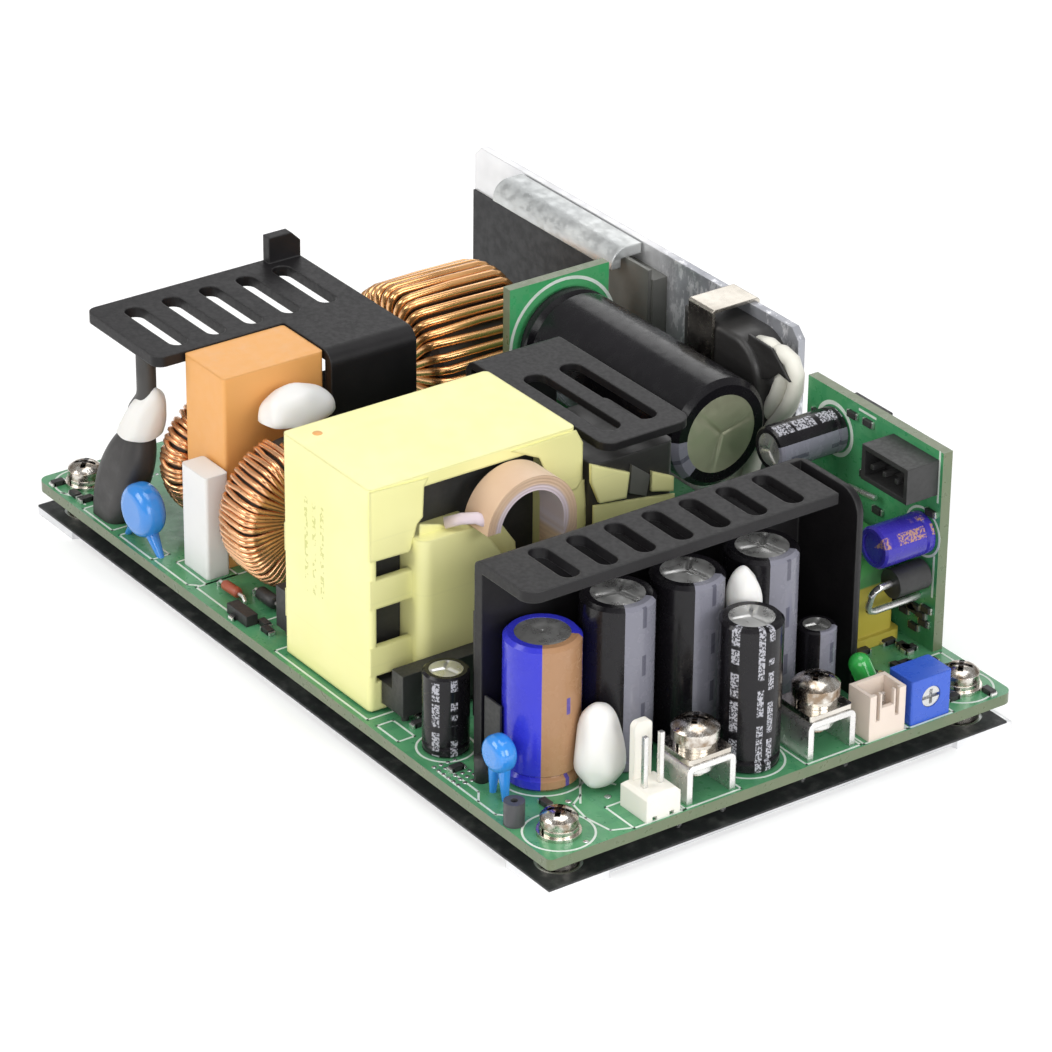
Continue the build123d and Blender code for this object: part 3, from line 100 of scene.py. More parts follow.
def ramp(tree, value, span, outLow=0.0, outHigh=1.0):
    node = tree.nodes.new("ShaderNodeMapRange")
    node.interpolation_type = "SMOOTHSTEP"
    feed(tree, node.inputs["Value"], value)
    node.inputs["From Min"].default_value, node.inputs["From Max"].default_value = span
    node.inputs["To Min"].default_value = outLow
    node.inputs["To Max"].default_value = outHigh
    return node.outputs["Result"]


def risingOver(tree, value, span):
    # from 0 to 1 over a span in mm
    return ramp(tree, value, (span[0] * mm, span[1] * mm))


def fallingOver(tree, value, span):
    return ramp(tree, value, (span[0] * mm, span[1] * mm), 1.0, 0.0)


def noiseNode(tree, vector, scale, detail=3.0, roughness=0.55):
    node = tree.nodes.new("ShaderNodeTexNoise")
    feed(tree, node.inputs["Vector"], vector)
    feed(tree, node.inputs["Scale"], scale)
    node.inputs["Detail"].default_value = detail
    node.inputs["Roughness"].default_value = roughness
    return node.outputs["Fac"]


def objectPlace(tree):
    return tree.nodes.new("ShaderNodeTexCoord").outputs["Object"]


def faceNormal(tree):
    return tree.nodes.new("ShaderNodeNewGeometry").outputs["Normal"]


def parts(tree, vector):
    node = tree.nodes.new("ShaderNodeSeparateXYZ")
    feed(tree, node.inputs[0], vector)
    return node.outputs[:3]


def newGroup(name, inputs, outputs):
    group = bpy.data.node_groups.new(name, "ShaderNodeTree")
    for label, kind, value in inputs:
        socket = group.interface.new_socket(name=label, in_out="INPUT", socket_type=kind)
        socket.default_value = value
    for label, kind in outputs:
        group.interface.new_socket(name=label, in_out="OUTPUT", socket_type=kind)
    return group, group.nodes.new("NodeGroupInput").outputs, group.nodes.new("NodeGroupOutput").inputs


def placeGroup(tree, group, **values):
    node = tree.nodes.new("ShaderNodeGroup")
    node.node_tree = group
    for label, value in values.items():
        feed(tree, node.inputs[label], value)
    return node.outputs


# Camera, floor and light
photoView = {
    "azimuth": 54.39,   # degrees, from the -Y side towards +X
    "elevation": 27.80,
    "roll": -0.62,
    "boardMiddle": (-2.67, 7.59, 678.95),  # mm to the right, down and ahead of the camera
    "focalPixels": 4889.8,
    "framePixels": 1052,
    "sensor": 36.0,
    "nearClip": 10.0,
}


def placeCamera(view):
    az, el, roll = (math.radians(view[key]) for key in ("azimuth", "elevation", "roll"))
    back = Vector((math.sin(az) * math.cos(el), -math.cos(az) * math.cos(el), math.sin(el)))
    ahead = -back
    right = ahead.cross(Vector((0, 0, 1))).normalized()
    down = ahead.cross(right).normalized()
    pictureRight = math.cos(roll) * right + math.sin(roll) * down
    pictureDown = -math.sin(roll) * right + math.cos(roll) * down
    aside, below, forward = (value * mm for value in view["boardMiddle"])
    place = Vector((0, 0, deck)) - pictureRight * aside - pictureDown * below - ahead * forward
    data = bpy.data.cameras.new("photoCamera")
    data.sensor_width = view["sensor"]
    data.lens = view["focalPixels"] / view["framePixels"] * view["sensor"]
    data.clip_start = view["nearClip"] * mm
    camera = bpy.data.objects.new("photoCamera", data)
    bpy.context.scene.collection.objects.link(camera)
    turn = Matrix((pictureRight, -pictureDown, back)).transposed()
    camera.matrix_world = Matrix.Translation(place) @ turn.to_4x4()
    bpy.context.scene.camera = camera
    print("camera placed")


studio = {
    "lamps": {
        "key": {"place": (-0.20, -0.70, 0.48), "size": 0.50, "power": 3.4, "colour": (1.0, 0.99, 0.97)},
        "top": {"place": (0.10, 0.05, 0.85), "size": 0.60, "power": 2.8, "colour": (1.0, 1.0, 1.0)},
        "right": {"place": (0.75, 0.12, 0.30), "size": 0.40, "power": 2.7, "colour": (0.99, 0.99, 1.0)},
        "front": {"place": (0.62, -0.40, 0.26), "size": 0.40, "power": 1.7, "colour": (1.0, 1.0, 0.99)},
        "rear": {"place": (-0.60, 0.55, 0.45), "size": 0.50, "power": 1.0, "colour": (1.0, 1.0, 1.0)},
    },
    "aim": (0, 0, 0.015),
    "worldFill": 0.36,   # how bright the world lights the supply
    "background": 1.0,   # and how bright it is behind it
    "floorSize": 4.0,
    "floorColour": (0.86, 0.86, 0.86),
    "floorRough": 0.9,
    "floorGlow": 0.25,   # brings the floor up to white where it is seen
}


def buildStudio(look):
    for name, lamp in look["lamps"].items():
        data = bpy.data.lights.new(name + "Lamp", "AREA")
        data.shape = "SQUARE"
        data.size = lamp["size"]
        data.energy = lamp["power"]
        data.color = lamp["colour"]
        holder = bpy.data.objects.new(name + "Lamp", data)
        holder.location = lamp["place"]
        aim = Vector(look["aim"]) - Vector(lamp["place"])
        holder.rotation_euler = aim.to_track_quat("-Z", "Y").to_euler()
        bpy.context.scene.collection.objects.link(holder)
    world = bpy.data.worlds.new("studioWorld")
    world.use_nodes = True
    tree = world.node_tree
    sky = tree.nodes["Background"]
    paths = tree.nodes.new("ShaderNodeLightPath").outputs
    seen = mathNode(tree, "MAXIMUM", paths["Is Camera Ray"], paths["Is Transmission Ray"])
    spread = mathNode(tree, "MULTIPLY_ADD", seen, look["background"] - look["worldFill"])
    spread.node.inputs[2].default_value = look["worldFill"]
    tree.links.new(spread, sky.inputs["Strength"])
    sky.inputs["Color"].default_value = (1, 1, 1, 1)
    bpy.context.scene.world = world
    print("lamps hung:", len(look["lamps"]))


def makeFloor(look):
    size = look["floorSize"] / 2
    mesh = bpy.data.meshes.new("studioFloor")
    corners = [(-size, -size, 0), (size, -size, 0), (size, size, 0), (-size, size, 0)]
    mesh.from_pydata(corners, [], [(0, 1, 2, 3)])
    floor = bpy.data.objects.new("studioFloor", mesh)
    bpy.context.scene.collection.objects.link(floor)
    material = bpy.data.materials.new("studioFloor")
    material.use_nodes = True
    tree = material.node_tree
    shader = tree.nodes["Principled BSDF"]
    shader.inputs["Base Color"].default_value = (*look["floorColour"], 1)
    shader.inputs["Roughness"].default_value = look["floorRough"]
    shader.inputs["Emission Color"].default_value = (1, 1, 1, 1)
    paths = tree.nodes.new("ShaderNodeLightPath").outputs
    mirrored = mathNode(tree, "MAXIMUM", paths["Is Glossy Ray"], paths["Is Transmission Ray"])
    seen = mathNode(tree, "MAXIMUM", paths["Is Camera Ray"], mirrored)
    tree.links.new(product(tree, seen, look["floorGlow"]), shader.inputs["Emission Strength"])
    mesh.materials.append(material)
    print("floor laid")


floatSocket, vectorSocket = "NodeSocketFloat", "NodeSocketVector"
noiseSpan = (0.3, 0.7)  # where most of a noise's values lie


# Shared effect: fine grain with slow blotches under it
def makeGrainGroup():
    blotchShare, fineDetail, blotchDetail = 0.13, 4.0, 3.0
    group, given, out = newGroup(
        "surfaceGrain",
        [("Scale", floatSocket, 900.0), ("Stretch", vectorSocket, (1, 1, 1))],
        [("Height", floatSocket), ("Blotch", floatSocket)],
    )
    place = vectorNode(group, "MULTIPLY", objectPlace(group), given["Stretch"])
    fine = noiseNode(group, place, given["Scale"], fineDetail)
    coarse = noiseNode(group, place, product(group, given["Scale"], blotchShare), blotchDetail)
    group.links.new(fine, out["Height"])
    group.links.new(ramp(group, coarse, noiseSpan), out["Blotch"])
    return group


# Shared effect: mask of the outer edges, where a painted highlight goes, and the rounded normal of those
# edges
def makeEdgeGroup():
    edgeSpan = (0.995, 0.80)  # how far the rounded normal leans from the flat one
    group, given, out = newGroup(
        "edgeMaskAndRounding", [("Radius", floatSocket, 0.0004)], [("Mask", floatSocket), ("Normal", vectorSocket)]
    )
    bevel = group.nodes.new("ShaderNodeBevel")
    bevel.samples = 4
    feed(group, bevel.inputs["Radius"], given["Radius"])
    match = vectorNode(group, "DOT_PRODUCT", bevel.outputs["Normal"], faceNormal(group), value=True)
    group.links.new(ramp(group, match, edgeSpan), out["Mask"])
    group.links.new(bevel.outputs["Normal"], out["Normal"])
    return group


# Shared effect: dust that settles on what faces up
def makeDustGroup():
    speckScale, speckDetail, speckRough = 420.0, 6.0, 0.7
    speckSpan, upwardSpan = (0.45, 0.75), (0.3, 1.0)
    group, given, out = newGroup("settledDust", [("Amount", floatSocket, 0.2)], [("Mask", floatSocket)])
    facing = parts(group, faceNormal(group))[2]
    specks = ramp(group, noiseNode(group, objectPlace(group), speckScale, speckDetail, speckRough), speckSpan)
    lying = product(group, ramp(group, facing, upwardSpan), specks)
    group.links.new(mathNode(group, "MULTIPLY", lying, given["Amount"], True), out["Mask"])
    return group


# Shared effect: a stripe down one side of a can, from the can's axis and the stripe's direction
def makeStripeGroup():
    group, given, out = newGroup(
        "sideStripe",
        [
            ("Centre", vectorSocket, (0, 0, 0)),
            ("Axis", vectorSocket, (0, 0, 1)),
            ("Side", vectorSocket, (1, 0, 0)),
            ("Spread", floatSocket, 0.8),   # cosine of half the stripe's width
            ("Reach", floatSocket, 0.006),  # how far from the axis it still shows
        ],
        [("Mask", floatSocket), ("Along", floatSocket), ("Across", floatSocket)],
    )
    offset = vectorNode(group, "SUBTRACT", objectPlace(group), given["Centre"])
    along = vectorNode(group, "DOT_PRODUCT", offset, given["Axis"], value=True)
    flat = vectorNode(group, "SUBTRACT", offset, vectorNode(group, "SCALE", given["Axis"], along))
    distance = vectorNode(group, "LENGTH", flat, value=True)
    match = vectorNode(group, "DOT_PRODUCT", vectorNode(group, "NORMALIZE", flat), given["Side"], value=True)
    inside = mathNode(group, "GREATER_THAN", match, given["Spread"])
    near = mathNode(group, "LESS_THAN", distance, given["Reach"])
    group.links.new(product(group, inside, near), out["Mask"])
    group.links.new(along, out["Along"])
    sideways = vectorNode(group, "CROSS_PRODUCT", given["Axis"], given["Side"])
    group.links.new(vectorNode(group, "DOT_PRODUCT", flat, sideways, value=True), out["Across"])
    return group


grainGroup = makeGrainGroup()
edgeGroup = makeEdgeGroup()
dustGroup = makeDustGroup()
stripeGroup = makeStripeGroup()
print("shared effects built")


# What every finish starts from; a look changes what it names, and lengths are in mm
plainLook = {
    "grain": 900.0,
    "stretch": (1, 1, 1),
    "metal": 0.0,
    "rough": 0.5,
    "roughSpread": 0.08,
    "shine": 0.5,
    "coat": 0.0,
    "coatRough": 0.1,
    "sheen": 0.0,
    "clear": 0.0,
    "deep": 0.0,          # share of light that goes in and comes out again
    "deepRadius": (2.0, 1.5, 1.0),
    "deepScale": 0.5,
    "bump": 0.3,
    "depth": 0.02,
    "edge": 0.0,          # radius of the rounded edges
    # share of painted highlight along the edges
    "highlightShare": 0.0,
    "dust": 0.0,
    "dustColour": (0.62, 0.60, 0.57),
}
leastRough = 0.02


def makeFinish(name, changes, pattern=None):
    # one Principled surface with grain, edges and dust, and a pattern where the piece has one
    look = dict(plainLook, **changes)
    material = bpy.data.materials.new(name)
    material.use_nodes = True
    tree = material.node_tree
    shader = tree.nodes["Principled BSDF"]
    grain = placeGroup(tree, grainGroup, Scale=look["grain"], Stretch=look["stretch"])
    colour = mixColour(tree, grain["Blotch"], look["colour"], look["second"])
    height = grain["Height"]
    if pattern:
        colour, height = pattern(tree, colour, height)
    bump = tree.nodes.new("ShaderNodeBump")
    bump.inputs["Strength"].default_value = look["bump"]
    bump.inputs["Distance"].default_value = look["depth"] * mm
    tree.links.new(height, bump.inputs["Height"])
    if look["edge"]:
        edges = placeGroup(tree, edgeGroup, Radius=look["edge"] * mm)
        tree.links.new(edges["Normal"], bump.inputs["Normal"])
        # painted highlight: a paler colour mixed along the outer edges
        if look["highlightShare"]:
            colour = mixColour(tree, product(tree, edges["Mask"], look["highlightShare"]), colour, look["highlightColour"])
    if look["dust"]:
        dust = placeGroup(tree, dustGroup, Amount=look["dust"])
        colour = mixColour(tree, dust["Mask"], colour, look["dustColour"])
    low = max(look["rough"] - look["roughSpread"], leastRough)
    high = min(look["rough"] + look["roughSpread"], 1.0)
    tree.links.new(colour, shader.inputs["Base Color"])
    tree.links.new(ramp(tree, grain["Height"], noiseSpan, low, high), shader.inputs["Roughness"])
    tree.links.new(bump.outputs["Normal"], shader.inputs["Normal"])
    shader.inputs["Metallic"].default_value = look["metal"]
    shader.inputs["Specular IOR Level"].default_value = look["shine"]
    shader.inputs["Coat Weight"].default_value = look["coat"]
    shader.inputs["Coat Roughness"].default_value = look["coatRough"]
    shader.inputs["Sheen Weight"].default_value = look["sheen"]
    shader.inputs["Transmission Weight"].default_value = look["clear"]
    if look["deep"]:
        shader.inputs["Subsurface Weight"].default_value = look["deep"]
        shader.inputs["Subsurface Radius"].default_value = [reach * mm for reach in look["deepRadius"]]
        shader.inputs["Subsurface Scale"].default_value = look["deepScale"]
    return material


# Printed tracks of a board, under the lacquer
tracks = {
    "cells": 150.0, "gridStep": 1.1, "throughStep": 10.0, "gap": (0.05, 0.09),
    "share": 0.35, "colour": (0.11, 0.36, 0.16), "height": 1.4,
    "fibre": (0.09, 0.15, 0.07), "paleFibre": (0.16, 0.17, 0.10), "fibreGrain": 260.0, "edgeFrom": 0.5,
}


def boardPattern(through):
    # through is the direction through the board; faces that turn from it are its bare fibre edge
    def pattern(tree, colour, height):
        place = objectPlace(tree)
        steps = [tracks["throughStep" if share else "gridStep"] * mm for share in through]
        cells = tree.nodes.new("ShaderNodeTexVoronoi")
        cells.feature = "DISTANCE_TO_EDGE"
        cells.inputs["Scale"].default_value = tracks["cells"]
        tree.links.new(vectorNode(tree, "SNAP", place, steps), cells.inputs["Vector"])
        copper = ramp(tree, cells.outputs["Distance"], tracks["gap"])
        colour = mixColour(tree, product(tree, copper, tracks["share"]), colour, tracks["colour"])
        facing = vectorNode(tree, "DOT_PRODUCT", faceNormal(tree), through, value=True)
        side = mathNode(tree, "LESS_THAN", mathNode(tree, "ABSOLUTE", facing), tracks["edgeFrom"])
        strands = noiseNode(tree, place, tracks["fibreGrain"])
        fibre = mixColour(tree, strands, tracks["fibre"], tracks["paleFibre"])
        raised = mathNode(tree, "ADD", height, product(tree, copper, tracks["height"]))
        return mixColour(tree, side, colour, fibre), raised
    return pattern


def stripePattern(stripes, stripeColour, marks):
    # a stripe down each can, with a broken line of plain bars in its middle
    def pattern(tree, colour, height):
        for stripe in stripes:
            found = placeGroup(tree, stripeGroup, **stripe)
            colour = mixColour(tree, found["Mask"], colour, stripeColour)
            pitch = mathNode(tree, "MODULO", found["Along"], marks["pitch"] * mm)
            bar = mathNode(tree, "LESS_THAN", pitch, marks["long"] * mm)
            aside = mathNode(tree, "ABSOLUTE", found["Across"])
            thin = mathNode(tree, "LESS_THAN", aside, marks["wide"] * mm)
            colour = mixColour(tree, product(tree, bar, thin, found["Mask"]), colour, marks["colour"])
        return colour, height
    return pattern


# Narrow columns of pale print, broken up at random, with nothing that can be read
brokenPrint = {
    "columnShift": 0.37, "groups": (0.42, 0.46),
    "strokeScale": 3600.0, "strokes": (0.44, 0.54), "faint": 0.10,
}


def printPattern(columns, printColour, run):
    # run is the rough length of one group of strokes, in mm
    def pattern(tree, colour, height):
        for index, column in enumerate(columns):
            found = placeGroup(tree, stripeGroup, **column)
            row = tree.nodes.new("ShaderNodeCombineXYZ")
            tree.links.new(found["Along"], row.inputs[0])
            row.inputs[1].default_value = brokenPrint["columnShift"] * index
            coarse = noiseNode(tree, row.outputs[0], 1.0 / (run * mm), detail=1.0)
            groups = ramp(tree, coarse, brokenPrint["groups"])
            fine = noiseNode(tree, objectPlace(tree), brokenPrint["strokeScale"], detail=1.0)
            strokes = ramp(tree, fine, brokenPrint["strokes"], brokenPrint["faint"], 1.0)
            colour = mixColour(tree, product(tree, groups, strokes, found["Mask"]), colour, printColour)
        return colour, height
    return pattern


# Overlapping turns of the transformer's film, and worn columns of olive print on its -Y side
tapeTurns = {
    "pitch": 4.7, "shift": 100.0, "edge": (0.0, 0.25), "shade": 0.12, "shadeColour": (0.66, 0.66, 0.30),
    "wrinkle": 160.0, "wrinkleStretch": (1, 1, 3), "wrinkleHeight": 4.0,
}
olivePrint = {
    "first": 5.2, "pitch": 0.95, "column": (0.35, 0.50), "middle": (7.2, 19.0), "halfWide": (2.6, 2.8),
    "halfHigh": (6.8, 7.2), "behind": -36.1, "scale": 1700.0, "worn": (0.50, 0.56), "strength": 0.55,
    "colour": (0.42, 0.44, 0.08),
}


def tapePattern(tree, colour, height):
    turns, ink = tapeTurns, olivePrint
    place = objectPlace(tree)
    x, y, z = parts(tree, place)
    level = mathNode(tree, "PINGPONG", mathNode(tree, "ADD", z, turns["shift"] * mm), turns["pitch"] * mm)
    shade = mathNode(tree, "SUBTRACT", 1.0, risingOver(tree, level, turns["edge"]))
    colour = mixColour(tree, product(tree, shade, turns["shade"]), colour, turns["shadeColour"])
    column = mathNode(tree, "PINGPONG", mathNode(tree, "SUBTRACT", x, ink["first"] * mm), ink["pitch"] * mm)
    middleX, middleZ = ink["middle"]
    aside = distanceFrom(tree, x, middleX * mm)
    high = distanceFrom(tree, z, deck + middleZ * mm)
    drawn = product(
        tree,
        fallingOver(tree, column, ink["column"]),
        fallingOver(tree, aside, ink["halfWide"]),
        fallingOver(tree, high, ink["halfHigh"]),
        mathNode(tree, "LESS_THAN", y, ink["behind"] * mm),
        ramp(tree, noiseNode(tree, place, ink["scale"], detail=2.0), ink["worn"], 0.0, ink["strength"]),
    )
    stretched = vectorNode(tree, "MULTIPLY", place, turns["wrinkleStretch"])
    wrinkles = noiseNode(tree, stretched, turns["wrinkle"], detail=2.0)
    raised = mathNode(tree, "ADD", height, product(tree, wrinkles, turns["wrinkleHeight"]))
    return mixColour(tree, drawn, colour, ink["colour"]), raised


brush = {
    "scale": 2400.0, "detail": 2.0, "rough": 0.7, "height": 2.0,
    "toneScale": 70.0, "toneSpan": (0.35, 0.7), "toneShare": 0.35, "tone": (0.50, 0.51, 0.52),
}


def brushedPattern(direction):
    def pattern(tree, colour, height):
        stretched = vectorNode(tree, "MULTIPLY", objectPlace(tree), direction)
        lines = noiseNode(tree, stretched, brush["scale"], brush["detail"], brush["rough"])
        tone = ramp(tree, noiseNode(tree, objectPlace(tree), brush["toneScale"]), brush["toneSpan"])
        colour = mixColour(tree, product(tree, tone, brush["toneShare"]), colour, brush["tone"])
        return colour, mathNode(tree, "ADD", height, product(tree, lines, brush["height"]))
    return pattern


# The wall's far end is greyer and scuffed: from and to along X and Z, and beyond the inner face in Y
wallScuffs = {
    "along": (-22.0, -10.0), "high": (8.0, 16.0), "inner": 38.0, "share": 0.9,
    "stretch": (1.0, 1.0, 0.45), "scale": 380.0, "detail": 6.0, "rough": 0.75, "span": (0.53, 0.62),
    "grey": (0.36, 0.37, 0.41), "pale": (0.82, 0.82, 0.86),
}


def wallPattern(tree, colour, height):
    colour, height = brushedPattern((0.04, 1, 1))(tree, colour, height)
    place = objectPlace(tree)
    x, y, z = parts(tree, place)
    far = product(
        tree,
        risingOver(tree, x, wallScuffs["along"]),
        risingOver(tree, z, wallScuffs["high"]),
        mathNode(tree, "GREATER_THAN", y, wallScuffs["inner"] * mm),
        wallScuffs["share"],
    )
    scratched = vectorNode(tree, "MULTIPLY", place, wallScuffs["stretch"])
    scuffs = noiseNode(tree, scratched, wallScuffs["scale"], wallScuffs["detail"], wallScuffs["rough"])
    tone = mixColour(tree, ramp(tree, scuffs, wallScuffs["span"]), wallScuffs["grey"], wallScuffs["pale"])
    return mixColour(tree, far, colour, tone), height


# Painted shade in the cross recess of each screw's head, found from the heads' regular places
recessShadeArms = {"wide": (0.4, 0.6), "long": (2.1, 2.4), "colour": (0.02, 0.014, 0.010)}


def recessShadePattern(across, along, middle=0.0):
    def pattern(tree, colour, height):
        x, y = parts(tree, objectPlace(tree))[:2]
        offX = mathNode(tree, "SUBTRACT", mathNode(tree, "ABSOLUTE", x), across * mm)
        offY = mathNode(tree, "SUBTRACT", distanceFrom(tree, y, middle * mm), along * mm)
        first = mathNode(tree, "ABSOLUTE", mathNode(tree, "ADD", offX, offY))
        second = distanceFrom(tree, offX, offY)
        arms = fallingOver(tree, mathNode(tree, "MINIMUM", first, second), recessShadeArms["wide"])
        near = fallingOver(tree, mathNode(tree, "MAXIMUM", first, second), recessShadeArms["long"])
        return mixColour(tree, product(tree, arms, near), colour, recessShadeArms["colour"]), height
    return pattern


def splitPattern(level, above, fade=0.4):
    # another colour above a level over the board
    def pattern(tree, colour, height):
        high = mathNode(tree, "SUBTRACT", parts(tree, objectPlace(tree))[2], deck)
        return mixColour(tree, risingOver(tree, high, (level - fade, level)), colour, above), height
    return pattern


def inTurn(*patterns):
    def pattern(tree, colour, height):
        for each in patterns:
            colour, height = each(tree, colour, height)
        return colour, height
    return pattern


# The wound lead's arch over the transformer: strands round it, paler and pinker on its inner side
leadArch = {
    "middle": (-14.4, 24.2), "inner": (5.6, 6.2), "innerColour": (0.70, 0.60, 0.66),
    "strands": 14.0, "strandShare": 0.25, "strandColour": (0.50, 0.33, 0.22),
}


def servingPattern(tree, colour, height):
    y, z = parts(tree, objectPlace(tree))[1:]
    middleY, middleZ = leadArch["middle"]
    offY = mathNode(tree, "SUBTRACT", y, middleY * mm)
    offZ = mathNode(tree, "SUBTRACT", z, deck + middleZ * mm)
    squares = mathNode(tree, "ADD", product(tree, offY, offY), product(tree, offZ, offZ))
    radius = mathNode(tree, "SQRT", squares)
    inner = fallingOver(tree, radius, leadArch["inner"])
    colour = mixColour(tree, inner, colour, leadArch["innerColour"])
    strands = mathNode(tree, "SINE", product(tree, radius, leadArch["strands"] / mm))
    shade = ramp(tree, strands, (-1.0, 1.0), 0.0, leadArch["strandShare"])
    return mixColour(tree, shade, colour, leadArch["strandColour"]), mathNode(tree, "ADD", height, strands)


# Cans: the three output cans' places, which share one node; the others are read from the frame
outputCans = [(47.0, -15.9), (47.3, -5.0), (47.3, 7.2)]


def compass(degrees):
    return (math.cos(math.radians(degrees)), math.sin(math.radians(degrees)), 0.0)


def bottomOf(node):
    low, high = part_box(node)
    return ((low.x + high.x) / 2, (low.y + high.y) / 2, low.z)


def endOf(node, end):
    # the middle of a lying can's end: its low X end or its high Y end
    low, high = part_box(node)
    middle = (low + high) / 2
    return (low.x if end == "x" else middle.x, middle.y if end == "x" else high.y, middle.z)


def stripeOn(centre, side, half, axis=(0, 0, 1), reach=6.0):
    # what the stripe group takes; half is half the stripe's angle, in degrees
    return {
        "Centre": centre, "Axis": axis, "Side": side,
        "Spread": math.cos(math.radians(half)), "Reach": reach * mm,
    }


def stripesOn(centre, sides, **others):
    return [stripeOn(centre, side, half, **others) for side, half in sides]


def lyingStripes(node, sides):
    return stripesOn(endOf(node, "y"), sides, axis=(0, -1, 0))


# Where each can's stripe or print faces, and its colours
greyStripe, greyPrint, warmPrint = (0.20, 0.20, 0.24), (0.42, 0.42, 0.46), (0.42, 0.24, 0.18)
bronzeStripe = (0.38, 0.21, 0.11)
boxMark = {"pitch": 7.0, "long": 3.0, "wide": 0.35, "colour": (0.10, 0.10, 0.13)}
bronzeMark = {"pitch": 11.0, "long": 2.4, "wide": 0.3, "colour": (0.10, 0.07, 0.30)}

outputStripes = [stripeOn((x * mm, y * mm, deck), compass(8), 33) for x, y in outputCans]
bronzeStripes = stripesOn(bottomOf("bronze_capacitor"), [(compass(6), 42)])
rearStripes = stripesOn(bottomOf("rear_capacitor"), [(compass(12), 40)])
frontColumns = stripesOn(
    bottomOf("front_capacitor"), [(compass(-66), 8), (compass(-18), 6), (compass(2), 6)])
startColumns = stripesOn(bottomOf("start_capacitor"), [(compass(-60), 10), (compass(-14), 9)])
bulkStripes = stripesOn(
    endOf("bulk_capacitor", "x"), [((0, -0.94, -0.34), 24)], axis=(1, 0, 0), reach=9.0)
boardCanStripes = lyingStripes("board_capacitor", [((0.98, 0, -0.17), 38)])
boardCanColumns = lyingStripes("board_capacitor", [((0.30, 0, 0.95), 18)])
violetColumns = lyingStripes("violet_capacitor", [((0.84, 0, 0.54), 16), ((0.30, 0, 0.95), 10)])


